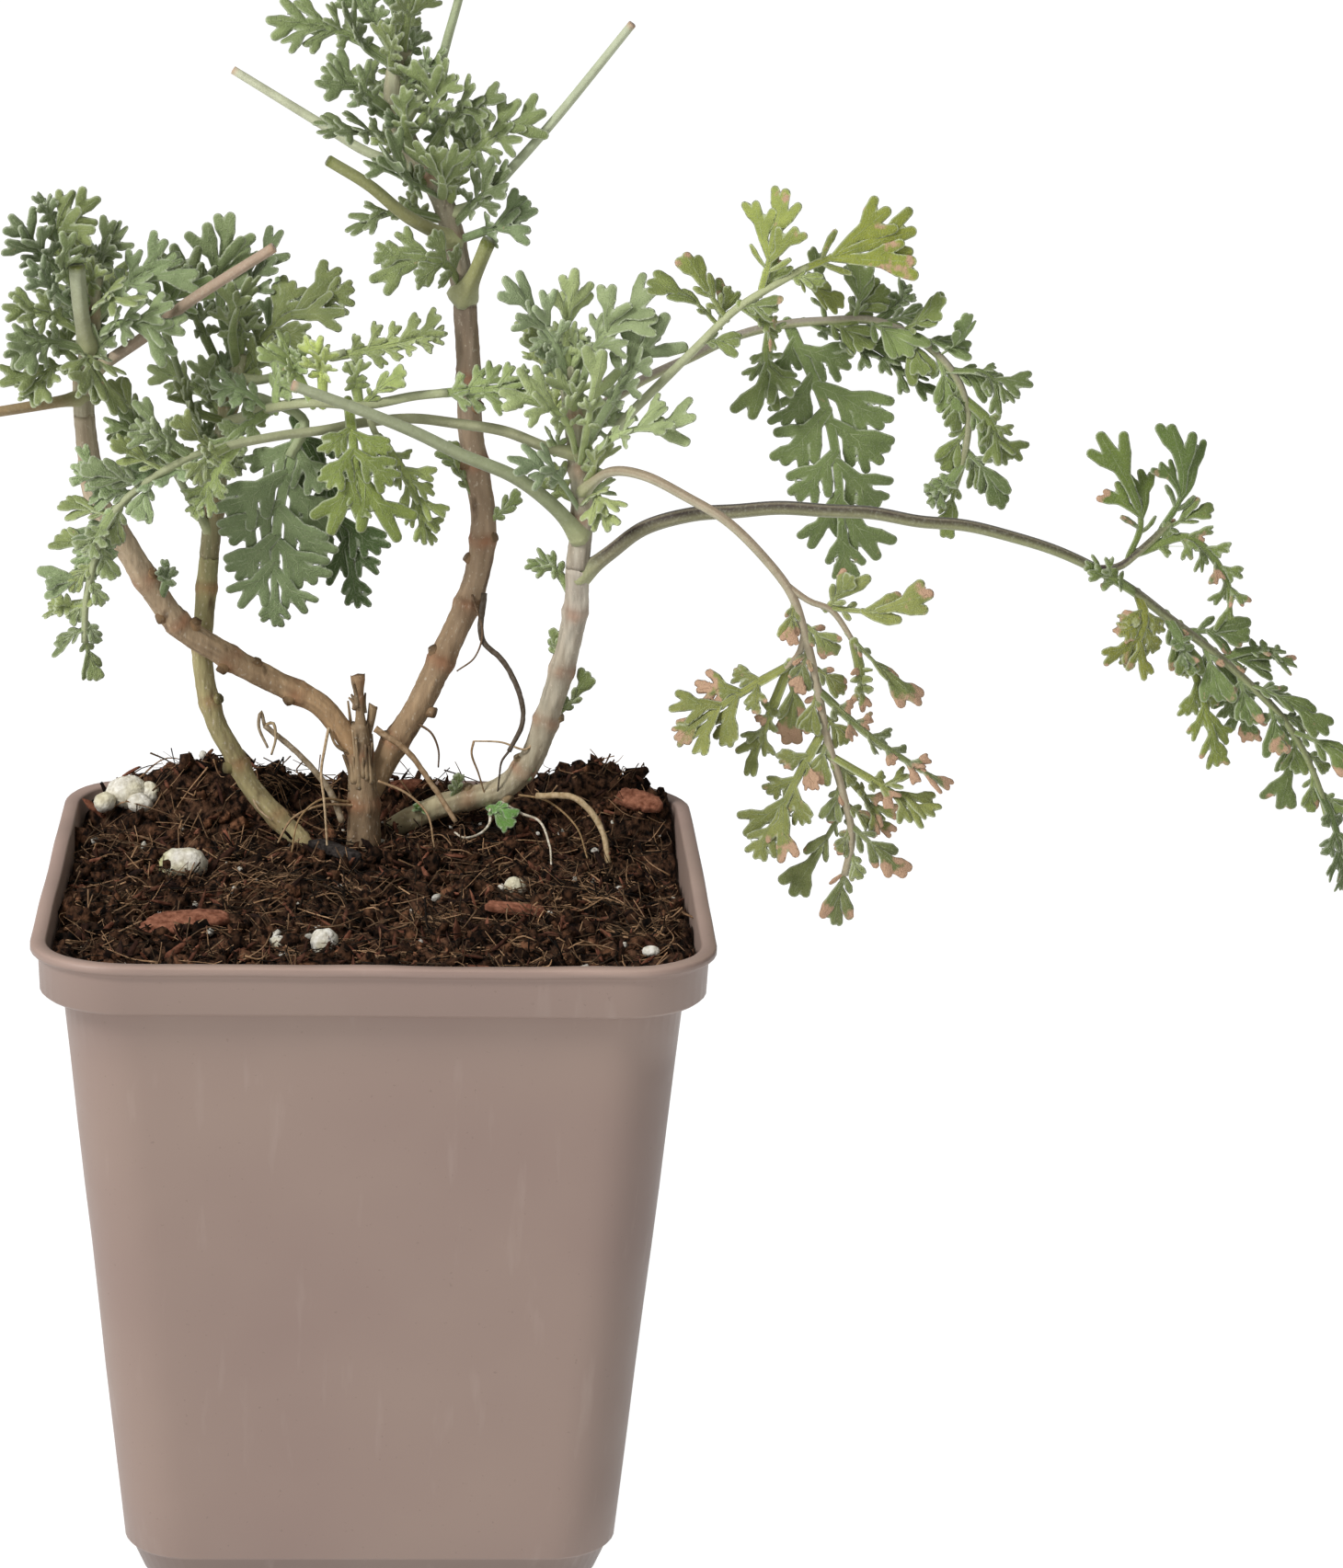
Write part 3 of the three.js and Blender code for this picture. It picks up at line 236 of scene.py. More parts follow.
# Materials
class Shader:
    """A material's node tree, written a node a line."""

    def __init__(self, name, roughness=0.8, **settings):
        self.material = bpy.data.materials.new(name)
        self.material.use_nodes = True
        self.tree = self.material.node_tree
        self.surface = self.tree.nodes["Principled BSDF"]
        self.surface.inputs["Roughness"].default_value = roughness
        for key, value in settings.items():
            self.surface.inputs[key.replace("_", " ")].default_value = value
        self.place = self.node("TexCoord").node.outputs["Object"]

    def node(self, kind, inputs=None, output=0, **settings):
        made = self.tree.nodes.new("ShaderNode" + kind)
        for key, value in settings.items():
            setattr(made, key, value)
        for key, value in (inputs or {}).items():
            if isinstance(value, bpy.types.NodeSocket):
                self.tree.links.new(value, made.inputs[key])
            else:
                made.inputs[key].default_value = value
        return made.outputs[output]

    def noise(self, size, detail=3.0, squash=(1, 1, 1)):
        """Noise whose features are about size millimetres across."""
        place = self.node("Mapping", {"Vector": self.place, "Scale": squash})
        return self.node("TexNoise", {"Vector": place, "Scale": 1 / (size * MM), "Detail": detail})

    def ramp(self, value, low, high):
        return self.node("MapRange", {"Value": value, "From Min": low, "From Max": high})

    def value(self, name):
        return self.node("Attribute", output="Fac", attribute_name=name)

    def paint(self):
        return self.node("Attribute", output="Color", attribute_name="paint")

    def math(self, operation, first, second):
        return self.node("Math", {0: first, 1: second}, operation=operation)

    def mix(self, factor, first, second, blend="MIX"):
        colours = {6: first, 7: second}
        for key, colour in colours.items():
            if not isinstance(colour, bpy.types.NodeSocket):
                colours[key] = (*colour, 1)
        return self.node("Mix", {0: factor, **colours}, output=2, data_type="RGBA", blend_type=blend)

    def coat(self, base, mask, share, colour):
        """The base with a share of the colour over it where the mask is 1."""
        return self.mix(self.math("MULTIPLY", mask, share), base, rgb(colour))

    def tinted(self, base, share=1.0):
        """The base multiplied by the paint of the mesh."""
        return self.mix(share, base, self.paint(), "MULTIPLY")

    def finish(self, colour, bump=None, depth=0.1, roughness=None):
        self.tree.links.new(colour, self.surface.inputs["Base Color"])
        if bump is not None:
            normal = self.node("Bump", {"Height": bump, "Distance": depth * MM, "Strength": 1.0})
            self.tree.links.new(normal, self.surface.inputs["Normal"])
        if roughness is not None:
            self.tree.links.new(roughness, self.surface.inputs["Roughness"])
        return self.material


def leaf_material():
    """Felted leaf: its own green, paler at the hairy margin and the veins, brown where it is dry."""
    s = Shader("leaf_felt", 0.65, Sheen_Weight=0.1, Sheen_Roughness=0.4, Specular_IOR_Level=0.3)
    base = s.coat(s.paint(), s.ramp(s.noise(2.6, 4), 0.3, 0.7), 0.4, "3f5226")
    felt = s.ramp(s.noise(0.22, 2), 0.45, 0.7)
    base = s.coat(base, felt, 0.16, "c2c9a8")
    base = s.coat(base, s.ramp(s.value("edge"), 0.5, 1.0), 0.52, "d8dec6")
    vein = s.ramp(s.math("MULTIPLY", s.value("edge"), -1.0), 0.2, 0.8)
    base = s.coat(base, vein, 0.4, "b9c29c")
    speck = s.ramp(s.math("ADD", s.value("dry"), s.math("MULTIPLY", s.noise(2.4, 3), 1.2)), 0.88, 1.0)
    base = s.mix(speck, base, rgb("b8967a"))
    return s.finish(base, s.math("ADD", s.noise(0.5, 3), s.math("MULTIPLY", felt, 0.5)), 0.12)


def stalk_material():
    """Petioles: mottled, with a thin felt."""
    s = Shader("stalk_felt", 0.6, Sheen_Weight=0.2, Sheen_Roughness=0.5, Specular_IOR_Level=0.3)
    base = s.coat(s.paint(), s.ramp(s.noise(1.7, 4), 0.35, 0.7), 0.2, "6d6a45")
    base = s.coat(base, s.ramp(s.noise(0.35, 2), 0.5, 0.72), 0.14, "d2d5c0")
    return s.finish(base, s.noise(0.4, 3), 0.08)


def bark_material():
    """Woody stem: its own colour, streaked lengthwise, with flecks, dark cracks and rust at the knots."""
    s = Shader("stem_bark_old", 0.78, Specular_IOR_Level=0.25)
    base = s.coat(s.paint(), s.ramp(s.noise(1.1, 6, (1, 1, 0.16)), 0.35, 0.65), 0.35, "7d6448")
    base = s.coat(base, s.ramp(s.noise(0.4, 5, (1, 1, 0.6)), 0.6, 0.7), 0.5, "d6cab6")
    base = s.coat(base, s.ramp(s.noise(2.4, 6, (1, 1, 0.35)), 0.38, 0.3), 0.6, "4a3626")
    base = s.mix(s.value("dry"), base, rgb("a35f3a"))
    return s.finish(base, s.noise(0.9, 6, (1, 1, 0.3)), 0.3)


def pot_material():
    """Moulded taupe plastic, slightly cloudy, with fine specks and scuffs."""
    s = Shader("pot_moulded", 0.42, Specular_IOR_Level=0.4)
    base = s.tinted(s.mix(s.ramp(s.noise(38, 3), 0.3, 0.7), rgb("88736a"), rgb("8f7b70")))
    base = s.coat(base, s.ramp(s.noise(0.6, 2), 0.7, 0.76), 0.35, "6e5c50")
    base = s.coat(base, s.ramp(s.noise(3, 5, (1, 1, 0.15)), 0.62, 0.8), 0.12, "cbbdb2")
    gloss = s.node("MapRange", {"Value": s.noise(6, 4), "To Min": 0.36, "To Max": 0.55})
    return s.finish(base, s.noise(9, 2), 0.05, gloss)


def peat_material():
    """Dark fibrous peat."""
    s = Shader("peat_dark", 0.95, Specular_IOR_Level=0.1)
    base = s.mix(s.ramp(s.noise(0.9, 6, (1, 0.35, 1)), 0.4, 0.72), rgb("150c08"), rgb("70503c"))
    return s.finish(s.tinted(base, 0.8), s.noise(0.7, 8), 0.6)


def grain_material(name, dark, light, size, depth):
    """Lumps and flakes of one colour with a coarse grain."""
    s = Shader(name, 0.9, Specular_IOR_Level=0.2)
    base = s.mix(s.ramp(s.noise(size, 5), 0.35, 0.7), rgb(dark), rgb(light))
    return s.finish(s.tinted(base), s.noise(size * 0.6, 5), depth)


LEAF = leaf_material()
STALK = stalk_material()
BARK = bark_material()
POT = pot_material()
PEAT = peat_material()
PERLITE = grain_material("perlite_white", "c9c2b2", "f4f0e6", 0.8, 0.3)
FLAKE = grain_material("flake_brown", "6c3f2d", "a67058", 0.9, 0.25)
CHAR = grain_material("char_black", "15110f", "4a4340", 0.7, 0.3)
ROOT = grain_material("root_dry", "c8bfb0", "ffffff", 0.6, 0.08)
WHITE = np.ones(3)


# Tubes
def turns_round(sides):
    return 2 * math.pi * np.arange(sides) / sides


def frames(spots):
    """A pair of directions square to the route at each spot, turning as little as they can."""
    tangents = unit(np.gradient(spots, axis=0))
    start = np.array((0.0, -1.0, 0.0))
    if abs(tangents[0] @ start) > 0.9:
        start = np.array((1.0, 0.0, 0.0))
    normal = unit(start - tangents[0] * (tangents[0] @ start))
    normals = []
    for tangent in tangents:
        normal = unit(normal - tangent * (tangent @ normal))
        normals.append(normal)
    normals = np.array(normals)
    return normals, np.cross(normals, tangents)


def taper(radii, along):
    """The radius along a route, from two radii, or from three with the middle one as a bulge."""
    radius = radii[0] + (radii[-1] - radii[0]) * along
    if len(radii) == 3:
        radius = radius + (radii[1] - (radii[0] + radii[2]) / 2) * np.sin(math.pi * along)
    return radius


def tube_rings(route, radii, sides, step, section=None):
    """Rings round a route, its spots and their shares of its length; section is the radius at each turn."""
    length = lengths(spline(route, 60))[-1]
    rows = max(6, int(round(length / step)) + 1)
    spots = spline(route, rows)
    along = np.linspace(0, 1, rows)
    normals, binormals = frames(spots)
    turn = turns_round(sides)
    share = np.ones(sides) if section is None else section(turn)
    radius = taper(radii, along)[:, None] * share[None]
    rings = spots[:, None] + normals[:, None] * (radius * np.cos(turn))[..., None]
    rings += binormals[:, None] * (radius * np.sin(turn))[..., None]
    return rings, spots, along


def graded(colours, along):
    """Paint for rings from a foot's colour to an end's."""
    foot, end = rgb(colours[0]), rgb(colours[1])
    return foot + (end - foot) * along[:, None, None]


def woody(bag, route, radii, colours, knots=(), seed=0.0, sides=28):
    """A woody stem: swollen and scarred at its knots, ridged lengthwise and ragged at its end."""
    rings, spots, along = tube_rings(route, radii, sides, 0.6)
    length = lengths(spots)[-1]
    past_knots = (along[:, None] - np.array(knots)) * length
    swell = KNOT_SWELL * np.exp(-((past_knots / KNOT_HALF) ** 2)).sum(axis=1, keepdims=True)
    scar = np.exp(-((past_knots / SCAR_HALF - SCAR_PLACE) ** 2)).sum(axis=1, keepdims=True)
    turn = turns_round(sides)
    far = along[:, None] * length
    waves = np.broadcast_arrays(GRAIN_ROUND * np.cos(turn), GRAIN_ROUND * np.sin(turn), GRAIN_ALONG * far)
    grain = rough(np.stack(waves, axis=-1), 1, seed)
    ridges = 0.08 * grain + 0.05 * rough(rings, 1.4, seed + 7) - 0.05 * scar
    rings = spots[:, None] + (rings - spots[:, None]) * (1 + swell + ridges)[..., None]
    shade = 0.14 * rough(rings, 0.25, seed + 3) + 0.4 * grain - 0.3 * scar
    rings[-1] += unit(spots[-1] - spots[-2]) * 0.7 * rough(rings[-1], 1.1, seed)[:, None]
    rust = np.clip(swell * (1.6 + 2.4 * rough(rings, 0.5, seed + 9)), 0, 0.45)
    bag.add(rings, np.clip(graded(colours, along) * (1 + shade[..., None]), 0, 1), 0.0, rust)


def knobs(bag, route, shares, radius, colour, seed):
    """Short stumps of old petioles on a stem, each with a scar at its end."""
    rng = np.random.default_rng(seed)
    spots = spline(route, 200)
    for k, share in enumerate(shares):
        at = min(int(share * 199), 196)
        up = unit(spots[at + 3] - spots[at])
        side = unit(np.cross(up, (0.0, -1.0, 0.0))) * (1 if k % 2 else -1)
        out = unit(side + up * rng.uniform(0.2, 0.8) + np.array((0, rng.uniform(-1.1, -0.1), 0)))
        tip = spots[at] + out * (radius + rng.uniform(0.4, 1.0))
        rings = tube_rings([spots[at], (spots[at] + tip) / 2, tip], [1.2, 0.75], 9, 0.4)[0]
        rings += 0.12 * rough(rings, 1.3, seed + k)[..., None]
        dark = np.ones(len(rings))
        dark[-1] = 0.5
        bag.add(rings, rgb(colour) * dark[:, None, None])


def loose_bark(bag, route, radius, count, colour, seed):
    """Strips of old bark on a dead stem, lifting at their upper ends."""
    rng = np.random.default_rng(seed)
    spots = spline(route, 100)
    for k in range(count):
        turn = 2 * math.pi * (k + rng.uniform(-0.4, 0.4)) / count * 3
        out = np.array((math.cos(turn), math.sin(turn), 0))
        low = rng.uniform(0, 60)
        places = np.linspace(low, min(low + rng.uniform(15, 45), 99), 3).astype(int)
        ends = [spots[place] + out * radius for place in places]
        ends[2] = ends[2] + out * rng.uniform(0, 0.9)
        rings = tube_rings(ends, [rng.uniform(0.35, 0.6), 0.15], 5, 0.7)[0]
        bag.add(rings, np.clip(rgb(colour) * rng.uniform(0.6, 1.25), 0, 1))


def petiole_section(turn):
    """Round below, grooved above, with low ribs along it."""
    return 1 + 0.06 * np.cos(2 * turn) + 0.07 * np.cos(5 * turn + 0.6)


def petiole(bag, route, radii, colours, above=None, cut=None, sheath=0.6):
    """A ribbed petiole, swollen and pale at its foot by its sheath; above is the colour of its upper side,
    cut that of its cut end."""
    rings, spots, along = tube_rings(route, radii, 16, 0.9, petiole_section)
    far = (along * lengths(spots)[-1])[:, None, None]
    outward = rings - spots[:, None]
    rings = spots[:, None] + outward * (1 + sheath * np.exp(-((far / 2.6) ** 2)))
    paint = np.broadcast_to(graded(colours, along), rings.shape).copy()
    if above is not None:
        up = np.clip(0.5 + 1.6 * unit(outward)[..., 2:], 0, 1) * (1 - along[:, None, None]) ** 0.25
        ribs = np.clip(2 * np.cos(5 * turns_round(16)) - 1.4, 0, 0.45)
        paint += (rgb(above) - paint) * up
        paint += (rgb("b8ac92") - paint) * up * ribs[None, :, None]
    if sheath:
        paint += (rgb("b6b98a") - paint) * np.exp(-((far / 3.6) ** 2)) * 0.8
    paint *= (1 + 0.12 * rough(rings, 0.7, 4))[..., None]
    if cut is not None:
        paint += (rgb(cut) - paint) * (far > far[-1] - 0.5)
    bag.add(rings, np.clip(paint, 0, 1))


# Leaves
class Rib:
    """The bent plan of a leaf or of one division: places points given along it, across it and above it."""

    def __init__(self, points, roll, facing=None):
        self.spots = spline(points, 24)
        self.along = lengths(self.spots)
        self.length = self.along[-1]
        chord = unit(self.spots[-1] - self.spots[0])
        if facing is None:
            facing = FACING if abs(FACING @ chord) < END_ON else FACING_END_ON
        across = unit(np.cross(facing, chord))
        across = across * math.cos(roll) + np.cross(chord, across) * math.sin(roll)
        self.tangents = unit(np.gradient(self.spots, axis=0))
        self.sides = unit(across - self.tangents * (self.tangents @ across)[:, None])
        self.normals = np.cross(self.tangents, self.sides)

    def at(self, table, u):
        """A table's row for each length u along the rib."""
        return np.stack([np.interp(u, self.along, table[:, i]) for i in range(3)], axis=-1)

    def place(self, plan):
        u = np.clip(plan[..., 0], 0, self.length)
        spot = self.at(self.spots, u) + self.at(self.tangents, u) * (plan[..., 0] - u)[..., None]
        return spot + self.at(self.sides, u) * plan[..., 1:2] + self.at(self.normals, u) * plan[..., 2:3]


def lattice(low, high, cell):
    """Spots on a grid of even triangles, and the triangles."""
    rise = cell * math.sqrt(0.75)
    rows = int(math.ceil((high[1] - low[1]) / rise)) + 1
    count = int(math.ceil((high[0] - low[0]) / cell)) + 2
    row, place = np.divmod(np.arange(rows * count), count)
    spots = np.stack([low[0] + cell * (place - 0.5 * (row % 2)), low[1] + rise * row], axis=1)
    a = np.arange((rows - 1) * count).reshape(rows - 1, count)[:, :-1]
    b, c, d = a + 1, a + count, a + count + 1
    even = (np.arange(rows - 1) % 2 == 0)[:, None]
    first = np.stack([a, b, np.where(even, d, c)], axis=-1)
    second = np.stack([np.where(even, a, b), d, c], axis=-1)
    return spots, np.concatenate([first.reshape(-1, 3), second.reshape(-1, 3)])


def trimmed(depth, triangles):
    """The part of a flat mesh where depth is above zero: the spot pairs it is cut between, inner one first,
    and its triangles, in which the cuts are numbered after the spots."""
    inner = (depth > 0)[triangles]
    score = inner.sum(axis=1)

    def turned(kept, odd):
        rows = triangles[kept]
        return np.stack([rows[np.arange(len(rows)), (odd + k) % 3] for k in range(3)], axis=1)

    ones = turned(score == 1, inner[score == 1].argmax(axis=1))
    twos = turned(score == 2, inner[score == 2].argmin(axis=1))
    pairs = np.vstack([ones[:, [0, 1]], ones[:, [0, 2]], twos[:, [1, 0]], twos[:, [2, 0]]])
    keys, places = np.unique(pairs[:, 0] * len(depth) + pairs[:, 1], return_inverse=True)
    places = places.ravel() + len(depth)
    one_b, one_c, two_b, two_c = np.split(places, np.cumsum([len(ones), len(ones), len(twos)]))
    made = np.vstack([
        triangles[score == 3],
        np.stack([ones[:, 0], one_b, one_c], axis=1),
        np.stack([twos[:, 1], twos[:, 2], two_c], axis=1),
        np.stack([twos[:, 1], two_c, two_b], axis=1),
    ])
    return np.stack(np.divmod(keys, len(depth)), axis=1), made


class Blade:
    """A lobed blade in the plan of its leaf: the smooth union of round-ended arms."""

    def __init__(self, cup):
        self.arms = []
        self.cup = cup

    def arm(self, start, end, radii, twist=0.0, tone=1.0, dry=(0.0, 0.0), vein=True):
        self.arms.append((*start, *end, *radii, twist, tone, *dry, vein))

    def at(self, spots):
        """At spots of the plan: depth inside the margin, height of the middle face, tone and dryness."""
        arms = np.array(self.arms)
        start, end = arms[:, 0:2], arms[:, 3:5]
        length = np.linalg.norm(end - start, axis=1)
        along = (end - start) / length[:, None]
        offset = spots[:, None] - start
        t = np.clip((offset * along).sum(axis=2) / length, 0, 1)
        beside = along[:, 0] * offset[..., 1] - along[:, 1] * offset[..., 0]
        away = np.linalg.norm(offset - (t * length)[..., None] * along, axis=2)
        depth = arms[:, 6] + (arms[:, 7] - arms[:, 6]) * t - away
        top = depth.max(axis=1, keepdims=True)
        joined = top[:, 0] + WEB * np.log(np.exp((depth - top) / WEB).sum(axis=1))
        weight = np.exp((depth - top) / BLEND)
        weight /= weight.sum(axis=1, keepdims=True)
        height = arms[:, 2] + (arms[:, 5] - arms[:, 2]) * t + arms[:, 8] * beside + self.cup * away ** 2
        dry = arms[:, 10] + (arms[:, 11] - arms[:, 10]) * t
        return joined, *((weight * value).sum(axis=1) for value in (height, arms[:, 9], dry))

    def add_to(self, bag, rib, shape, colour):
        """The blade as a thin closed body with round edges, and its veins."""
        cell, thick = shape["cell"], shape["thick"]
        ends = np.array(self.arms)[:, [0, 1, 3, 4]].reshape(-1, 2)
        widest = max(arm[7] for arm in self.arms) + cell
        spots, triangles = lattice(ends.min(axis=0) - widest, ends.max(axis=0) + widest, cell)
        depth = self.at(spots)[0]
        pairs, triangles = trimmed(depth, triangles)
        share = np.clip(depth[pairs[:, 0]] / (depth[pairs[:, 0]] - depth[pairs[:, 1]]), 0.1, 0.9)[:, None]
        margin = spots[pairs[:, 0]] * (1 - share) + spots[pairs[:, 1]] * share
        inner = np.flatnonzero(depth > 0)
        numbers = np.zeros(len(depth) + len(margin), int)
        numbers[inner] = np.arange(len(inner))
        numbers[len(depth):] = len(inner) + np.arange(len(margin))
        upper = numbers[triangles]
        lower = np.where(upper < len(inner), upper + len(inner) + len(margin), upper)[:, ::-1]
        flat = np.vstack([spots[inner], margin, spots[inner]])
        depth, height, tone, dry = self.at(flat)
        depth[len(inner):len(inner) + len(margin)] = 0
        puff = thick * (1 - np.exp(-depth / ROUNDING))
        puff[len(inner):] *= -0.6
        edge = np.clip(1 - depth / MARGIN, 0, 1)
        paint = np.clip(tone[:, None] * colour, 0, 1)
        body = rib.place(np.column_stack([flat, height + puff]))
        bag.add_mesh(body, [np.vstack([upper, lower])], paint, edge, dry)
        self.add_veins(bag, rib, thick, colour)

    def add_veins(self, bag, rib, thick, colour):
        """A fine raised vein along the upper face of each arm that has one."""
        arms = np.array(self.arms)
        arms = arms[arms[:, 12] > 0]
        t = np.linspace(0, 0.9, 3)[None, :, None]
        centre = arms[:, None, 0:2] + (arms[:, None, 3:5] - arms[:, None, 0:2]) * t
        depth, height, tone, dry = self.at(centre.reshape(-1, 2))
        top = height + thick * (1 - np.exp(-np.maximum(depth, 0) / ROUNDING))
        across = unit(arms[:, 3:5] - arms[:, 0:2])[:, ::-1] * np.array((-1, 1))
        half = np.clip(arms[:, 7] * VEIN_SHARE, *VEIN_HALVES)[:, None] * (1 - 0.5 * t[..., 0])
        rings = []
        for side, rise in ((-1, -0.5), (0, 0.55), (1, -0.5)):
            flat = centre + across[:, None] * (half * side)[..., None]
            rings.append(np.concatenate([flat, (top.reshape(half.shape) + half * rise)[..., None]], axis=-1))
        rings = np.stack(rings, axis=2)
        paint = (tone.reshape(half.shape)[..., None] * colour)[:, :, None]
        bag.add(rib.place(rings), np.clip(paint, 0, 1), -1.0, dry.reshape(half.shape)[..., None])


# Forms of leaf: where the bare stalk ends and the tip starts; slant and reach of the pairs of divisions;
# lobes on each side of a division, where they start, how far they open and reach; half width of a lobe in a
# division's length, and of its neck and body in lobes; half width of the stalk; how much the divisions rise,
# roll and have uneven lobes; how thick the blade is; lobes of the tip; how fine the mesh is; whether lobes
# have veins
FORMS = {
    "small": dict(
        stalk=0.4, end=0.6, slants=(50, 30), reach=(0.85, 1), lobes=(1, 1), first=0.12, open=0.56,
        side=0.62, lobe=0.125, neck=0.6, body=0.7, strap=0.65, rise=(0.0, 0.8), roll=0.5, uneven=0.3,
        thick=0.42, tip=1, cell=0.41, veined=False,
    ),
    "young": dict(
        stalk=0.36, end=0.66, slants=(62, 46, 28), reach=(0.75, 1, 1), lobes=(1, 1, 1), first=0.16,
        open=0.56, side=0.6, lobe=0.12, neck=0.6, body=0.7, strap=0.75, rise=(0.0, 0.85), roll=0.5,
        uneven=0.3, thick=0.42, tip=1, cell=0.41, veined=False,
    ),
    "broad": dict(
        stalk=0.2, end=0.72, slants=(58, 46, 34), reach=(0.85, 1, 0.95), lobes=(2, 2, 1), first=0.2,
        open=0.56, side=0.55, lobe=0.105, neck=0.8, body=1.15, strap=0.75, rise=(-0.1, 0.4), roll=0.3,
        uneven=0.18, thick=0.28, tip=2, cell=0.44, veined=True,
    ),
    "comb": dict(
        stalk=0.1, end=0.8, slants=(54, 50, 46, 40, 32), reach=(0.8, 1, 1, 0.9, 0.75),
        lobes=(1, 1, 1, 1, 1), first=0.14, open=0.52, side=0.62, lobe=0.12, neck=0.6, body=0.75, strap=0.7,
        rise=(0, 0.6), roll=0.4, uneven=0.25, thick=0.34, tip=1, cell=0.43, veined=False,
    ),
    "leaflet": dict(
        stalk=0.12, end=0.5, slants=(46, 28), reach=(0.8, 0.95), lobes=(0, 0), first=0.2, open=0.46,
        side=0.6, lobe=0.17, neck=0.55, body=0.8, strap=0.45, rise=(-0.1, 0.3), roll=0.4, uneven=0.15,
        thick=0.26, tip=1, cell=0.43, veined=False,
    ),
    "frond": dict(
        stalk=0.04, end=0.8, slants=(54, 52, 48, 44, 38), reach=(0.75, 1, 1, 0.85, 0.7),
        lobes=(2, 2, 2, 2, 1), first=0.2, open=0.56, side=0.55, lobe=0.1, neck=0.9, body=1.25, strap=0.85,
        rise=(-0.1, 0.3), roll=0.3, uneven=0.15, thick=0.24, tip=2, cell=0.44, veined=True,
    ),
    "fingers": dict(
        stalk=0.2, end=0.42, slants=(50, 27), reach=(0.7, 0.85), lobes=(0, 1), first=0.3, open=0.42,
        side=0.58, lobe=0.105, neck=0.6, body=0.85, strap=0.55, rise=(-0.05, 0.25), roll=0.35, uneven=0.15,
        thick=0.24, tip=1, cell=0.43, veined=False,
    ),
}


def division(bag, parent, start, heading, size, lobes, shape, pose, colour, dry, rng):
    """One division of a leaf on a rib of its own: a bent axis with lobes on both sides; pose is its rise,
    curl and roll."""
    rise, curl, roll = pose
    width = float(np.clip(size * shape["lobe"], *LOBE_HALVES))
    size = max(size - width, 1.2)
    shares = np.linspace(0, 1, 4)
    turns = heading * (1 - TURN_BACK * shares[:3])
    steps = size / 3 * np.stack([np.cos(turns), np.sin(turns)], axis=1)
    flat = np.array((start, 0)) + np.vstack([[0, 0], np.cumsum(steps, axis=0)])
    path = np.column_stack([flat, size * (rise * shares + curl * shares ** 2)])
    rib = Rib(parent.place(path), roll, parent.at(parent.normals, start))
    blade = Blade(rng.uniform(-0.05, 0.16))
    knees = size * KNEES
    halves = width * np.array((shape["neck"], shape["body"], *TIP_HALVES))
    uneven = shape["uneven"]
    for k in range(3):
        twist = rng.uniform(-uneven, uneven)
        blade.arm((knees[k], 0, 0), (knees[k + 1], 0, 0), halves[k:k + 2], twist, 1, dry * shares[k:k + 2])
    spacing = (LOBES_END - shape["first"]) / max(lobes, 1)
    for k in range(lobes):
        for side in (-1, 1):
            place = k + 0.3 + 0.2 * side * np.sign(heading or 1)
            share = shape["first"] + spacing * (place + rng.uniform(-0.1, 0.1))
            angle = shape["open"] * (1.3 - 0.5 * share) + rng.uniform(-0.12, 0.12)
            reach = max(size * shape["side"] * (1.3 - 0.7 * share) * rng.uniform(0.85, 1.15), 1.0)
            foot = np.array((size * share, 0, 0))
            ahead = np.array((math.cos(angle), side * math.sin(angle), rng.uniform(-uneven, uneven)))
            middle = foot + 0.62 * reach * ahead
            full = width * rng.uniform(0.85, 1.05)
            own = rng.uniform(0.92, 1.08)
            tip = foot + reach * ahead
            blade.arm(foot, middle, (full * 0.55, full), 0, own, dry * np.array((0.3, 0.7)), shape["veined"])
            blade.arm(middle, tip, (full, full * 0.82), 0, own, dry * np.array((0.7, 1)), False)
    blade.add_to(bag, rib, shape, colour)


def leaf(bag, points, half, form, colour, seed, roll=0.0, dry=0.0):
    """A leaf with its stalk: pairs of lobed divisions along a winged midrib and one at the tip."""
    shape = FORMS[form]
    rng = np.random.default_rng(seed)
    rib = Rib(points, roll)
    first = shape["stalk"] * rib.length
    last = shape["end"] * rib.length
    spacing = (last - first) / len(shape["slants"])
    light = rng.uniform(0.6, 1.08)
    yellow = np.array((0.96, 1.03, 0.78)) + rng.uniform(-0.6, 1) * 0.12 * np.array((1.0, 0.5, -1.2))
    colour = rgb(colour) * yellow * light
    strap = shape["strap"]
    blade = Blade(0.12)
    blade.arm((-0.4, 0, -0.02), (first, 0, 0), (strap * 0.9, strap), 0, 1.2)
    blade.arm((first, 0, 0), (last, 0, 0), (strap, strap * 0.7), 0, 1.15)
    blade.add_to(bag, rib, shape, colour)
    for k, slant in enumerate(shape["slants"]):
        for side in (-1, 1):
            heading = side * math.radians(slant + rng.uniform(-6, 6))
            size = half * shape["reach"][k] * rng.uniform(0.9, 1.1) / math.sin(abs(heading))
            start = first + spacing * (k + 0.25 + 0.12 * side + rng.uniform(-0.08, 0.08))
            turn = side * rng.uniform(-0.4, 1) * shape["roll"]
            pose = (rng.uniform(*shape["rise"]), rng.uniform(-0.35, 0.05), turn)
            withered = np.clip(dry * rng.uniform(-0.4, 1.4), 0, 1)
            own = colour * rng.uniform(0.86, 1.1)
            division(bag, rib, start, heading, size, shape["lobes"][k], shape, pose, own, withered, rng)
    pose = (rng.uniform(-0.05, 0.15), rng.uniform(-0.2, 0.1), rng.uniform(-0.3, 0.3))
    withered = np.clip(dry * rng.uniform(-0.2, 1.4), 0, 1)
    size = rib.length - last + 0.3
    division(bag, rib, last - 0.3, 0.0, size, shape["tip"], shape, pose, colour, withered, rng)


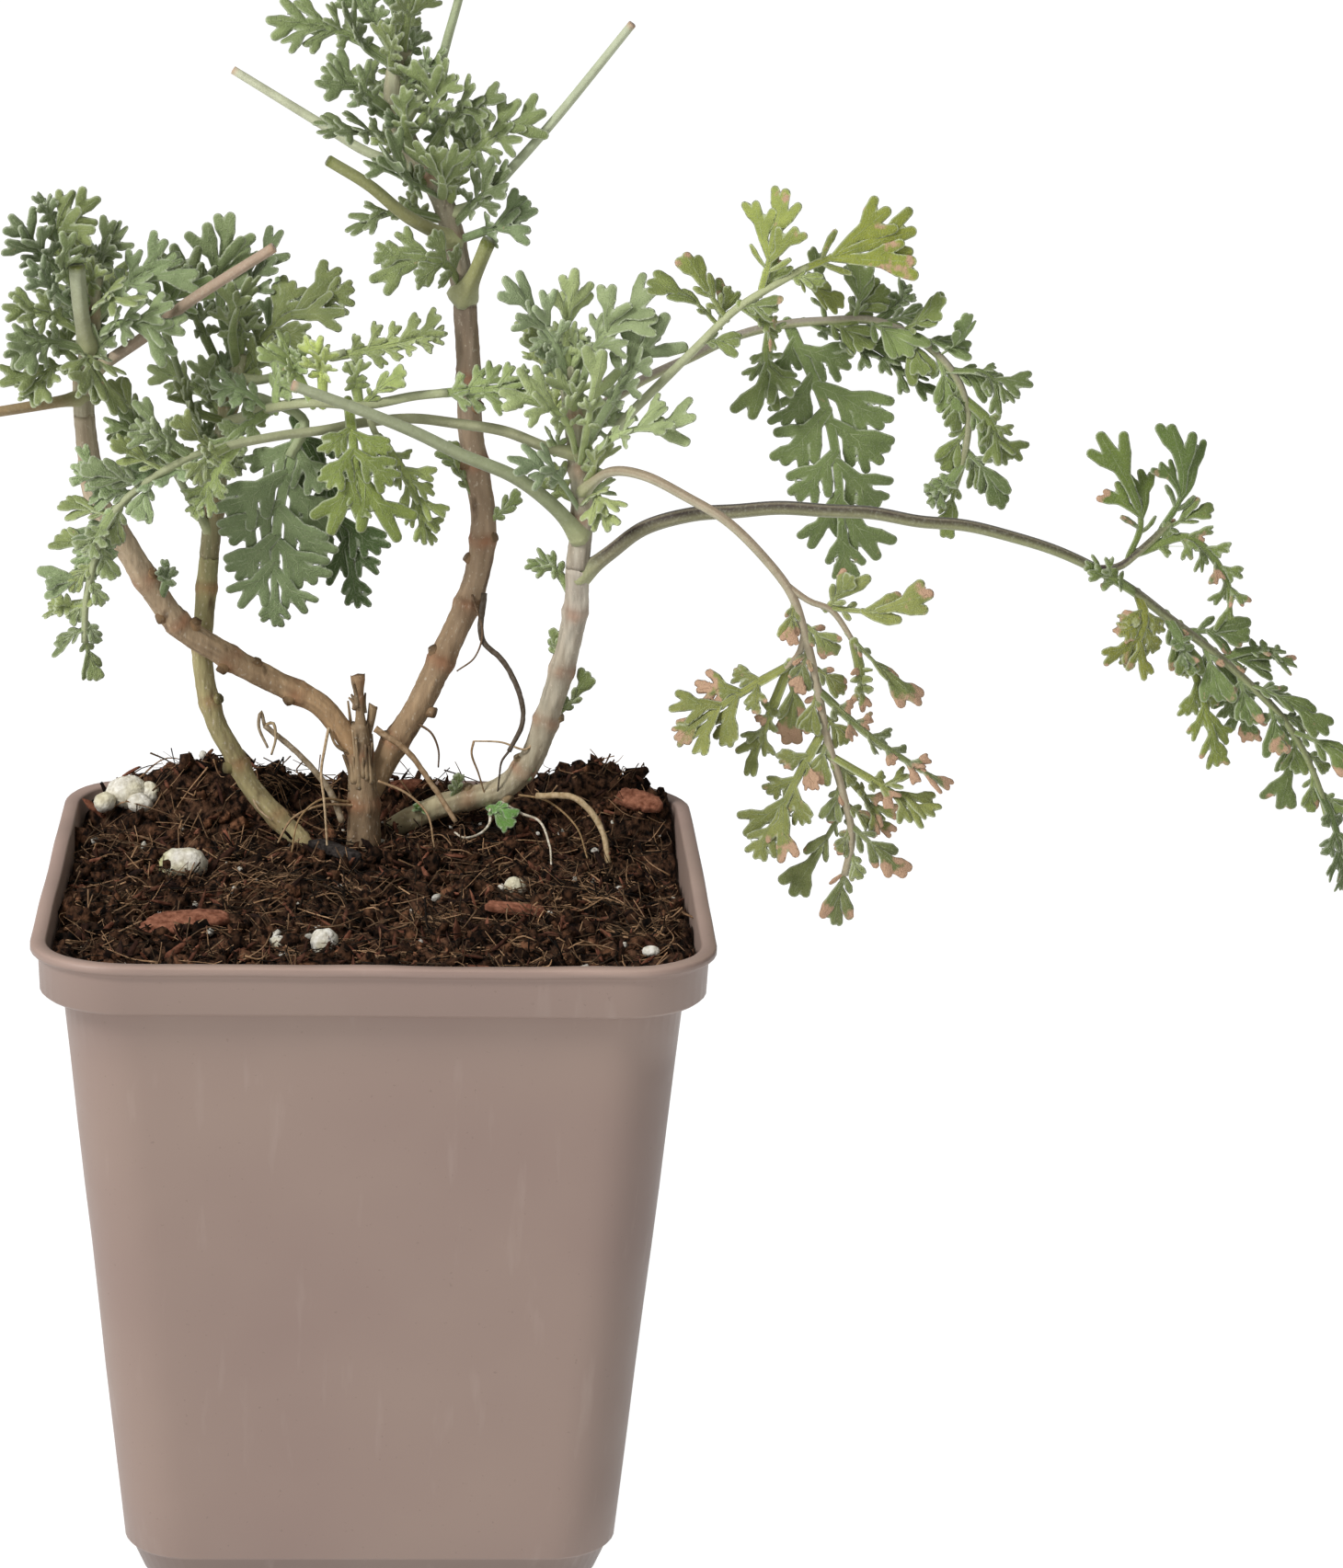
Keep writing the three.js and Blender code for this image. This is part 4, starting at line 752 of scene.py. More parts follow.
def leaf_rows(bag, rows, colour, seed, dry=0.0):
    """The leaves of a table, each rolled a little its own way."""
    for i, (points, half, *rest) in enumerate(rows):
        form, own = rest + ["young", colour][len(rest):]
        leaf(bag, points, half, form, own, seed + i, ROLL * math.sin(2.4 * i), dry)


def tuft(bag, route, count, colour, seed):
    """Young leaves crowded round the upper part of a shoot, more upright towards its top."""
    rng = np.random.default_rng(seed)
    spots = spline(route, 80)
    for k in range(count):
        share = 0.3 + 0.7 * (k + 0.5) / count
        at = min(int(share * 79), 76)
        base = spots[at]
        up = unit(spots[at + 3] - spots[max(at - 3, 0)])
        across = unit(np.cross(up, (0.0, 1.0, 0.0)))
        turn = 2.4 * k + rng.uniform(-0.3, 0.3)
        out = across * math.cos(turn) + np.cross(up, across) * math.sin(turn)
        tilt = 1.15 - 0.65 * share + rng.uniform(-0.15, 0.15)
        length = rng.uniform(6, 10)
        points = [base]
        for lean in (tilt, tilt - 0.35):
            points.append(points[-1] + (up * math.cos(lean) + out * math.sin(lean)) * length * 0.5)
        leaf(bag, points, rng.uniform(1.3, 2.2), "small", colour, seed + k, rng.uniform(-0.5, 0.5))


def dress(bag, route, first, count, reach, colour, seed, dry):
    """Leaflets in turn on both sides of a frond's far part, shorter towards its tip."""
    rng = np.random.default_rng(seed)
    spots = spline(route, 120)
    for k in range(count):
        share = (k + 0.5) / count
        at = 1 + int((first + (1 - first) * share) * 116)
        along = unit(spots[at + 2] - spots[at - 1])
        side = unit(np.cross(FACING, along)) * (1 if k % 2 else -1)
        out = unit(along * rng.uniform(1.2, 1.9) + side + FACING * rng.uniform(-0.3, 0.3))
        length = reach * (1.15 - 0.5 * share) * rng.uniform(0.8, 1.15)
        droop = np.array((0, 0, 0.1 * length))
        points = [spots[at], spots[at] + out * length / 2, spots[at] + out * length - droop]
        leaf(bag, points, length * 0.32, "leaflet", colour, seed + k, rng.uniform(-0.3, 0.3), dry)


# Woody stems: route from the foot up, radii, colours at foot and top, knots as shares of the length, and
# the stumps of old petioles: their shares, how far they stand from the middle and their colour
TRUNK = dict(
    route=[[-2, 22, 66.6], [-2, 22, 90], [-2, 22, 95.5], [-2.5, 22, 103], [-2.8, 22, 108]],
    radii=(1.6, 2.5, 1.3), colours=("6a5440", "9a8468"), knots=(0.72, 0.9),
)
PRONG_LEFT = dict(
    route=[[-2.5, 22, 107.5], [-3, 22, 115]],
    radii=(0.95, 0.55, 0.95), colours=("8f7a60", "a89070"), knots=(0.6, 0.9),
)
PRONG_RIGHT = dict(
    route=[[-2.4, 22.5, 104], [-1.2, 22.8, 108], [-0.8, 23, 110.5]],
    radii=(0.9, 0.6, 0.7), colours=("8a745a", "a08868"), knots=(),
)
STEM_A = dict(
    route=[[-2.5, 22, 103], [-8, 22, 110.5], [-14.5, 22, 114], [-20.5, 21, 117.5], [-27.5, 19.5, 122.5],
           [-31, 18, 127.5], [-35.5, 16, 135.5], [-39, 15, 141.5], [-40, 14, 148.5], [-40.5, 14, 153.5]],
    radii=(1.5, 1.75, 1.45), colours=("b6926a", "b6aa94"), knots=(0.2, 0.36, 0.5, 0.62, 0.75, 0.88),
    stumps=((0.2, 0.3, 0.36, 0.46, 0.52, 0.62, 0.75), 1.7, "9a7c5a"),
)
STEM_B = dict(
    route=[[-7.5, 21.5, 74], [-10.5, 22.5, 90], [-13, 23, 92.5], [-18, 24, 98], [-20.5, 25, 102.5],
           [-23, 25.5, 107], [-24.5, 26, 112.5], [-25, 26, 118.5], [-24.5, 26, 125], [-24, 26, 131]],
    radii=(1.5, 1.45, 1.4), colours=("c4b284", "9a986c"), knots=(0.35, 0.5, 0.66, 0.8, 0.93),
    stumps=((0.5, 0.66, 0.8), 1.4, "8c8458"),
)
STEM_C = dict(
    route=[[-1.8, 23, 97], [2, 25, 104], [5, 26, 108.5], [8, 27, 114.5], [10.5, 27.5, 120],
           [12.5, 28, 124.5], [14, 28, 130], [14.5, 28, 136.5], [13.5, 28, 143], [12.5, 28, 149.5],
           [12, 28, 159.5], [11.5, 28, 167]],
    radii=(1.9, 1.8, 1.65), colours=("a68a68", "988878"), knots=(0.12, 0.3, 0.42, 0.55, 0.7, 0.86),
    stumps=((0.12, 0.2, 0.3, 0.42, 0.5, 0.55, 0.7, 0.8), 1.8, "94785a"),
)
STEM_D = dict(
    route=[[-3, 30, 82], [2, 28.5, 90.5], [8, 28, 94], [11.5, 27, 95.5], [17.5, 26, 97.5], [21.5, 25, 102],
           [23.5, 24, 107.5], [25, 23, 113], [26.5, 22, 119.5], [27.5, 21, 125.5], [27.6, 20, 131.5]],
    radii=(1.5, 1.75, 1.65), colours=("a09468", "c4bcae"), knots=(0.35, 0.5, 0.63, 0.76, 0.9),
    stumps=((0.35, 0.42, 0.5, 0.63), 1.7, "a08a68"),
)

# Pieces of wood: name, node, slot and what is in them
WOODS = (
    ("crown", "crown_with_stems_a_c", "stem_bark", (TRUNK, PRONG_LEFT, PRONG_RIGHT, STEM_A, STEM_C)),
    ("stem_b_wood", "stem_b", "green_stem", (STEM_B,)),
    ("stem_d_wood", "stem_d", "stem_bark", (STEM_D,)),
)

# Old bark coming off the crown: route, distance from its middle, number of strips, colour, seed
LOOSE_BARK = (
    ([[-2.4, 22, 105], [-2.6, 22, 109], [-2.9, 22, 114.5]], 0.75, 9, "8f7a60", 5),
    ([[-2, 22, 93], [-2.2, 22, 98], [-2.6, 22, 105], [-3, 22, 111]], 1.75, 22, "a08a6c", 4),
)

# Leafy tops of the stems: the stem below, the route on from it with its radii and colours, the leaf green,
# how many leaves crowd at the top, and cut petioles with their colours at foot and end. A leaf is its rib's
# points, its half width, its form where it isn't young, and its green where it is its own. More are leaves
# that the part's solids leave out.
SHOOTS = {}
SHOOTS["a"] = dict(
    stem=STEM_A, radii=(1.45, 1.3), wood=("a8a28c", "b0b090"), green="8a9472", tuft=9,
    route=[[-40.5, 14, 153.9], [-40.5, 14, 157.5], [-39.5, 14, 164], [-39.5, 14, 169], [-39, 14, 172.5]],
    leaves=[
        [[[-39.5, 13.5, 170], [-44, 12, 178.5], [-38, 11, 184]], 3],
        [[[-43.4, 12, 177.5], [-46, 11, 184.5]], 1.5, "small"],
        [[[-39.5, 13.5, 169.5], [-46, 11, 176.5], [-49.5, 8, 181.5]], 2.8],
        [[[-39.5, 13, 169], [-43, 9.5, 175], [-41.5, 8, 180]], 2.2, "small"],
        [[[-39.5, 13.5, 164.5], [-45, 10, 168], [-51, 7, 169.5]], 2.6],
        [[[-39.5, 13, 162.5], [-45, 8.5, 164.5], [-50.5, 4, 163.5]], 2.8],
        [[[-40, 13, 159.5], [-44, 8, 161], [-48.5, 3, 158]], 3],
        [[[-40, 13, 161.5], [-39, 6, 162.5], [-38.5, 1.5, 157.5]], 3.7, "young"],
        [[[-39.5, 14, 164], [-34.5, 7.5, 167.5], [-26.5, 5, 167]], 3.4],
        [[[-39.5, 14, 166.5], [-34, 13, 172], [-27, 13, 175.5]], 3.5],
        [[[-39, 14, 169], [-38, 15, 175], [-34.5, 14, 179.5]], 2.3, "small"],
        [[[-39.5, 15, 166], [-39, 22, 169.5], [-38, 27, 172.5]], 2.7],
        [[[-39.5, 13, 167.5], [-36.5, 6, 171], [-32.5, 2, 171]], 2.2, "small"],
    ],
    more=[
        [[[-39.5, 13, 167.5], [-44.5, 9, 172], [-47.5, 7, 176]], 2],
        [[[-40, 15, 164], [-43, 22, 167], [-46.5, 26, 169]], 2.3],
    ],
    petioles=("9c9a7c", "a0a589"),
    cuts=[([[-39.8, 13.5, 163], [-40.5, 10.5, 168], [-41, 9, 175]], [1.1, 1.15])],
)
SHOOTS["b"] = dict(
    stem=STEM_B, radii=(1.4, 1.2), wood=("8a8664", "a4a684"), green="868f6e", tuft=12,
    route=[[-24, 26, 131.4], [-23, 26, 140], [-22.5, 26, 145], [-21.5, 26, 151.5], [-20.5, 26, 155.5],
           [-19.5, 26.5, 160]],
    leaves=[
        [[[-20, 26.5, 157], [-22.5, 27, 168], [-21, 28, 179.5]], 3.5],
        [[[-21, 26, 155], [-26, 25, 166], [-28.5, 24, 175.5]], 3],
        [[[-20, 27, 158], [-18.5, 29, 169], [-14, 31, 176.5]], 2.8],
        [[[-20, 26, 157.5], [-20.5, 22, 164.5], [-18, 19, 172]], 2.8],
        [[[-20, 26, 157], [-14.5, 25, 164.5], [-4, 26, 169.5]], 4.6, "broad"],
        [[[-20, 27, 156], [-15, 34, 163], [-10, 40, 166]], 3.4],
        [[[-21.3, 26, 152], [-23.5, 22, 156], [-25, 20, 161]], 1.5, "small"],
        [[[-21.5, 26.5, 151.5], [-27, 30, 155], [-32.5, 33, 156.5]], 2.1, "small"],
        [[[-21.5, 25.5, 150.5], [-26, 21, 153], [-28, 17, 157]], 2.4],
        [[[-22, 26.5, 148], [-24.5, 35, 152], [-27.5, 41, 153]], 2.6, "small"],
    ],
)
SHOOTS["c"] = dict(
    stem=STEM_C, radii=(1.65, 1.3), wood=("8f8678", "a8a88a"), green="858f6c", tuft=14,
    route=[[11.5, 28, 167.4], [10.5, 28, 173], [9.5, 28, 177.5], [8, 28, 182], [4, 28, 188.5],
           [1.5, 28, 194], [1.5, 28, 199], [2.5, 28, 202.5]],
    leaves=[
        [[[2, 28, 200.5], [-7, 27, 205], [-16, 25, 206.5]], 3.4],
        [[[2, 27.5, 199.5], [-3, 27, 203], [-6, 25, 209]], 1.6, "small"],
        [[[2, 28, 200.5], [-2.5, 30, 208], [-6, 30, 215]], 3.4],
        [[[2.2, 28, 200], [3, 26.5, 207], [4.5, 25.5, 215]], 3.4],
        [[[1.7, 28, 197], [5, 26, 199.5], [8.5, 24, 203]], 1.7, "small"],
        [[[1.5, 28, 193.5], [-2, 24, 196.5], [-8.5, 21, 200.5]], 2.9],
        [[[3, 28, 190], [-2, 23, 191.5], [-9, 20, 192]], 3.2],
        [[[3, 28, 190], [7, 24, 196], [8.5, 22, 202]], 2.7],
        [[[5, 28, 186.5], [11, 24, 195], [16.5, 21, 197]], 2.7],
        [[[8, 28, 182], [14, 24, 190.5], [22, 22, 195]], 2.8],
        [[[8, 28.5, 182], [11.5, 31, 188], [12, 32, 195]], 1.8, "small"],
        [[[8, 28, 182], [3, 21, 185.5], [-2.5, 18, 188.5]], 3.4],
        [[[8, 28, 181.5], [8, 20, 185.5], [6.5, 17, 190.5]], 2.9],
        [[[9.5, 28, 178], [13.5, 23, 183], [18, 21, 187]], 3.2],
        [[[10, 28, 176], [15, 24, 178.5], [21, 22, 181.5]], 2.6, "small"],
        [[[11, 28, 169.5], [8, 22.5, 174], [-1, 19, 175.5]], 3.8, "broad"],
        [[[8, 28.5, 181], [9.5, 35, 185.5], [11.5, 40, 189]], 2.8],
        [[[1.5, 28.5, 194.5], [-2, 35, 197], [-4.5, 39.5, 198.5]], 2.4, "small"],
    ],
    more=[
        [[[4, 28, 188], [3, 23, 192], [2.5, 20, 198]], 1.6],
        [[[9, 28, 179], [2, 25, 180.5], [-5, 24, 177.5]], 1.7],
        [[[2, 28.5, 191], [5, 35, 194.5], [7, 39, 197.5]], 2.1],
    ],
    petioles=("8c8658", "929660"),
    cuts=[
        ([[10, 28, 176], [3, 22, 180.5], [-2, 19, 185], [-7.5, 17.5, 188.5]], [1.1, 0.9, 0.8]),
        ([[11.2, 28, 168.5], [12.5, 25, 171.5], [14.5, 22, 177]], [1.5, 1.1, 1.1]),
    ],
)
SHOOTS["d"] = dict(
    stem=STEM_D, radii=(1.65, 1.25), wood=("a8a092", "b0b094"), green="b0ba98", tuft=10,
    route=[[27.6, 20, 131.9], [28, 20, 137], [28, 20, 141.5], [27.5, 20, 146.5], [26.5, 20, 153.5],
           [25.5, 20, 160]],
    leaves=[
        [[[26.6, 20, 153], [23.5, 18, 164], [16.5, 16, 173]], 3.2],
        [[[26.3, 20, 155], [25.3, 19, 165], [26.5, 18, 174]], 2.6],
        [[[26.6, 20, 153], [29.5, 17, 163.5], [37, 14, 172.5]], 3.4],
        [[[26.3, 20.5, 155], [22, 24, 160.5], [20, 25, 166]], 2.4],
        [[[27.5, 19.5, 146.5], [24.5, 14, 154.5], [16.5, 10, 158.5]], 3],
        [[[27.5, 19.5, 147.5], [33.5, 17, 159], [39, 15, 168.5]], 3.4],
        [[[27.6, 19.5, 145.5], [28.5, 14.5, 154], [30, 12.5, 164]], 1.6, "small"],
        [[[27.5, 19.5, 146], [33, 13.5, 152], [43, 10.5, 155]], 2.7],
        [[[28, 19.5, 139.5], [23.5, 15.5, 146], [17, 13.5, 148]], 2.2, "small"],
        [[[27.8, 19.5, 140.5], [30, 14, 143], [31.5, 10.5, 138.5]], 2.4, "small"],
        [[[26.5, 20.5, 154], [25, 28, 159], [23, 33, 162.5]], 2.7, "small"],
        [[[27.5, 20.5, 147], [31, 29, 150.5], [34.5, 35, 153]], 2.7, "small"],
        [[[28, 20.5, 137], [29.5, 27, 140], [31.5, 33, 141]], 2.2, "small"],
    ],
)

# Leaves with long petioles: leaf green, petiole colours at foot and end and above, dry share, slot where
# it isn't silver, petioles as route and radii, leaves as in the shoots, and where leaflets start to dress
# the far part of the first petiole, how many and how long
FRONDS = []
FRONDS.append(dict(
    name="frond_b_upper", green="b0bb94", petioles=("98a07a", "a0a882"),
    stalks=[
        ([[-20.2, 26, 156.5], [-16, 24, 157], [-10.5, 23, 159.5], [-5, 23.5, 161]], [0.7, 0.55]),
    ],
    leaves=[[[[-6.5, 23.4, 160.3], [1, 24, 162], [9, 23.5, 164]], 2.9, "comb"]],
))
FRONDS.append(dict(
    name="frond_b_right", green="b2be86", petioles=("a0a27c", "a6ac84"),
    stalks=[
        ([[-21.7, 25.5, 150], [-17, 18.5, 153.5], [-9.5, 12.5, 156], [-2, 12.5, 155.8], [4.5, 13, 157],
          [9, 13.6, 157.4]], [0.8, 0.7, 0.6]),
        ([[-2, 12.5, 155.8], [-1, 12.2, 152.5], [0.5, 12.5, 150]], [0.5, 0.45]),
    ],
    leaves=[
        [[[7.5, 13.4, 157.3], [16, 14.5, 158], [22, 15, 159]], 3.2, "comb"],
        [[[-9.5, 12.5, 156], [-11.5, 12, 160], [-15, 11, 164.5]], 2.8],
        [[[-8, 12.5, 156], [-8, 11, 161], [-8.5, 10, 165.5]], 2.4],
        [[[-2.5, 12.5, 155.8], [0, 11.5, 158.5], [3.5, 10.5, 161]], 1.6, "leaflet"],
        [[[-4.5, 12.5, 156], [-3.5, 9.5, 149], [-2.5, 8.5, 141]], 5.1, "broad", "8f9c60"],
        [[[0, 12.4, 151], [4, 13, 145], [7, 13.5, 136]], 3.3, "comb"],
    ],
    more=[[[[-3, 12.5, 155.8], [-4, 12, 162]], 1.3]],
))
FRONDS.append(dict(
    name="frond_b_drooping", green="a4b084", petioles=("98a07a", "9aa47c"),
    stalks=[
        ([[-20.8, 26, 154.5], [-16, 20, 154.8], [-10.5, 16, 152.5], [-12.5, 14.5, 148]], [0.75, 0.65]),
    ],
    leaves=[
        [[[-11.2, 15.5, 151.5], [-14, 13.5, 140], [-14.5, 14, 124]], 7, "frond"],
        # Painted shade: this leaf's green is darkened for the shadow that the leaf above casts on it.
        [[[-11.8, 17, 152.5], [-5.5, 20.5, 138], [-3, 20.5, 125.5]], 5.3, "frond", "56673c"],
    ],
))
FRONDS.append(dict(
    name="frond_b_back", green="7c8a60", petioles=("8d9670", "7c885c"),
    stalks=[
        ([[-23, 26, 142], [-25, 25.3, 149], [-27.5, 24, 156], [-30, 22, 165]], [0.55, 0.45]),
    ],
    leaves=[[[[-29.7, 22.2, 163.5], [-29.5, 19.5, 168.5], [-27, 18, 172.5]], 3.7]],
))
FRONDS.append(dict(
    name="frond_b_low", green="98a27e", petioles=("98a07a", "a0a884"),
    stalks=[
        ([[-23.6, 26, 134], [-26, 23.5, 139], [-28.5, 22, 144], [-33.5, 18, 153.5]], [0.6, 0.45]),
    ],
    leaves=[
        [[[-33.2, 18.2, 152.8], [-35, 17, 155], [-37.5, 18.5, 158]], 2.2, "leaflet"],
        [[[-32.8, 18.5, 152], [-36.5, 16, 149.5]], 1.6, "leaflet"],
    ],
))
FRONDS.append(dict(
    name="frond_d_left", green="9ea880", petioles=("a9a886", "9da47c"), dry=0.05, dressed=(0.68, 10, 6),
    stalks=[
        ([[27.5, 19.5, 148], [23.5, 17.5, 149], [17, 17, 151.5], [11, 16.5, 152.5], [4.5, 16.5, 153.2],
          [-2, 15.5, 152.8], [-8, 12, 152.3], [-13, 10, 152], [-20.5, 7, 151], [-26.5, 4, 149.5],
          [-32.5, 2, 146], [-36, 1, 142.5], [-38, 0, 137.5], [-39.5, 0, 131],
          [-39.8, 0, 125]], [0.8, 0.65, 0.45]),
    ],
    leaves=[
        [[[-25.5, 4.5, 149.8], [-32, 2, 155]], 2.7], [[[-29, 3.2, 148.2], [-36.5, 1, 152.5]], 2, "leaflet"],
        [[[-32, 2.2, 146.4], [-36, 0, 148.3], [-40, -1, 149.5]], 2.2, "leaflet"],
        [[[-36, 1, 142.5], [-43, 1.5, 144]], 1.8, "leaflet"],
        [[[-37.6, 0.2, 138.5], [-43.8, 1.5, 139.3]], 1.8, "leaflet"],
        [[[-38.8, 0, 134], [-45, -1, 133.5]], 2.2, "leaflet"],
        [[[-39.7, 0, 127], [-43.8, -1, 124.8]], 1.8, "leaflet"],
        [[[-39.8, 0, 126], [-38.5, 1, 119.5]], 1.7, "leaflet"],
        [[[-22.5, 6.3, 150.6], [-25.5, 4, 153.3], [-27.5, 2, 156]], 1.8, "leaflet"],
    ],
    more=[
        [[[-39.4, 0, 130.5], [-44.7, 2, 129]], 1.4], [[[-35.8, 1, 143], [-39.5, -2.5, 137.5]], 1.7],
        [[[-20.5, 7, 151], [-23.5, 2, 150], [-25, 0, 147]], 1.6],
    ],
))
FRONDS.append(dict(
    name="frond_d_upper", green="9ca466", petioles=("b4b898", "a4aa7c"), dry=0.25, slot="green_leaf",
    dressed=(0.55, 5, 6),
    stalks=[
        ([[27.6, 20.5, 145.5], [30, 20.5, 147.5], [33.5, 20, 152.5], [38.5, 17.5, 158.5],
          [43.5, 14.5, 164.5], [48, 13, 169.5], [52, 12, 172.5], [58, 12, 176]], [0.75, 0.65, 0.5]),
    ],
    leaves=[
        [[[47, 13.3, 168.4], [44.5, 12, 172], [41, 12, 177.5]], 1.8, "leaflet"],
        [[[46, 13.6, 167.3], [42, 13, 171], [36, 14, 173]], 1.7, "leaflet"],
        [[[51.5, 12.1, 172.2], [52.5, 11, 177], [54, 10, 186.5]], 4.6, "fingers"],
        [[[56, 12, 175], [62.5, 11, 178], [72, 10, 181.5]], 5, "fingers", "b0b04c"],
        [[[56, 12, 175], [59, 14.5, 172.5], [63, 17, 169.5]], 2.2, "leaflet"],
    ],
    more=[[[[49, 12.7, 170.3], [52, 14, 168], [54, 16, 165]], 1.7]],
))
FRONDS.append(dict(
    name="frond_d_arching", green="84905e", petioles=("a8aa84", "929a66"), above="8c8078", dry=0.05,
    slot="green_leaf", dressed=(0.5, 13, 8),
    stalks=[
        ([[26.6, 20.5, 153], [31, 22.5, 154.5], [36.5, 25, 157.5], [43, 26, 160.5], [49, 26, 163.5],
          [55.5, 25, 165.5], [61.5, 23, 166.5], [68, 21, 167], [74, 18, 165], [79, 16, 160.5],
          [81, 15, 155], [80.5, 14, 149], [79.5, 14, 145]], [0.75, 0.65, 0.45]),
    ],
    leaves=[
        [[[54, 25.3, 165], [53.5, 23, 161.5], [54, 21, 156.5]], 3.2],
        [[[56.5, 24.8, 165.6], [62.5, 23, 152.5], [65.5, 22, 130]], 7.5, "frond"],
        [[[59, 24, 166.2], [68, 20, 162.5], [76.5, 17.5, 157.5]], 3.4, "comb"],
        [[[61.5, 23, 166.5], [60.5, 24, 171], [59.5, 25, 176.5]], 2.1, "leaflet"],
        [[[65.5, 21.8, 166.9], [66, 20.5, 171.5], [65.5, 20, 175.5]], 2.1, "leaflet"],
        [[[72, 19, 166], [74.5, 15.5, 168.5], [77.5, 13, 171.5]], 2.4, "leaflet"],
        [[[77, 17, 163], [79.5, 15, 165.5], [80, 13, 169.5]], 2.2, "leaflet"],
        [[[78.5, 16.2, 161], [83, 14, 161], [87, 12, 157.5]], 2.8],
        [[[80, 15.6, 157.6], [84, 14, 154], [86.5, 13, 148.5]], 2.7],
        [[[80.6, 14.3, 150.5], [83.5, 13, 147.5], [86, 12, 142.5]], 2.2, "leaflet"],
        [[[79.8, 14, 146.5], [79, 14, 142.5], [78, 14, 138]], 1.8, "leaflet"],
    ],
    more=[
        [[[68.5, 20.8, 166.9], [71, 23, 168.5], [73.5, 26, 171]], 1.6],
        [[[80.4, 14, 148.5], [78.5, 13, 146], [75.5, 12, 143]], 1.7],
    ],
))
FRONDS.append(dict(
    name="frond_d_front", green="929460", petioles=("b4ac94", "a49a80"), above="9a8670", dry=0.55,
    slot="green_leaf", dressed=(0.5, 12, 6),
    stalks=[
        ([[27.9, 19.5, 142.5], [31.5, 15, 146.3], [36, 10, 147], [42, 5, 145], [47, 2.5, 142.5],
          [52, 1, 138], [56, 0, 133], [58, 0, 127.5], [60, 0, 120], [61.5, 0, 113], [64, 0, 105],
          [65.5, 0, 98.5], [64.7, 0, 93]], [0.7, 0.6, 0.5]),
        ([[54.5, 0.4, 134.8], [58.5, 0, 132], [61.5, 0, 130.8], [65.3, -0.3, 125.5]], [0.5, 0.4]),
        ([[58, 0, 127.5], [57.4, 0.5, 124.5], [55.5, 1, 122]], [0.5, 0.45]),
    ],
    leaves=[
        [[[60.8, 0, 131.1], [68, -1, 131], [75, -2, 134]], 2.2, "leaflet"],
        [[[61, 0, 131], [64.5, -1, 136]], 2.1, "leaflet"],
        [[[64, -0.2, 127.3], [69, -1, 122.5], [74.5, -2, 118.5]], 1.8, "leaflet"],
        [[[56, 0.9, 122.6], [49, 0, 118.5], [40.5, -2, 113]], 4.6, "broad"],
        [[[55.8, 0.8, 122.6], [57, 2.5, 117.5], [56.5, 3, 110.5]], 2.3, "leaflet"],
        [[[60.1, 0, 119.5], [67, -1, 113.5], [78.5, -3, 106.5]], 2.4, "comb"],
        [[[61.2, 0, 114], [57.5, 0, 106.5], [52.5, -1, 95.5]], 4.1, "broad"],
        [[[62.4, 0, 110], [69.5, -1, 106], [76.5, -2, 102]], 2.9],
        [[[65, 0, 100.5], [68.5, -1, 97.5], [73, -2, 93.5]], 2.3, "leaflet"],
        [[[64.5, 0, 103], [61.5, 2, 96.5], [57.5, 3, 89]], 1.8, "leaflet"],
        [[[64.9, 0, 94.5], [64, 0, 90.5], [63, 0, 86]], 2.6, "leaflet"],
    ],
    more=[
        [[[64.8, -0.3, 126.2], [66, 1.5, 121.5], [66.5, 2, 116]], 1.1],
        [[[56.2, 0.9, 122.8], [53.5, 3, 114], [51, 3, 106.5]], 1.6],
        [[[62.8, 0, 108.5], [67, 2.5, 104], [70.5, 3, 97.5]], 2.1],
    ],
))
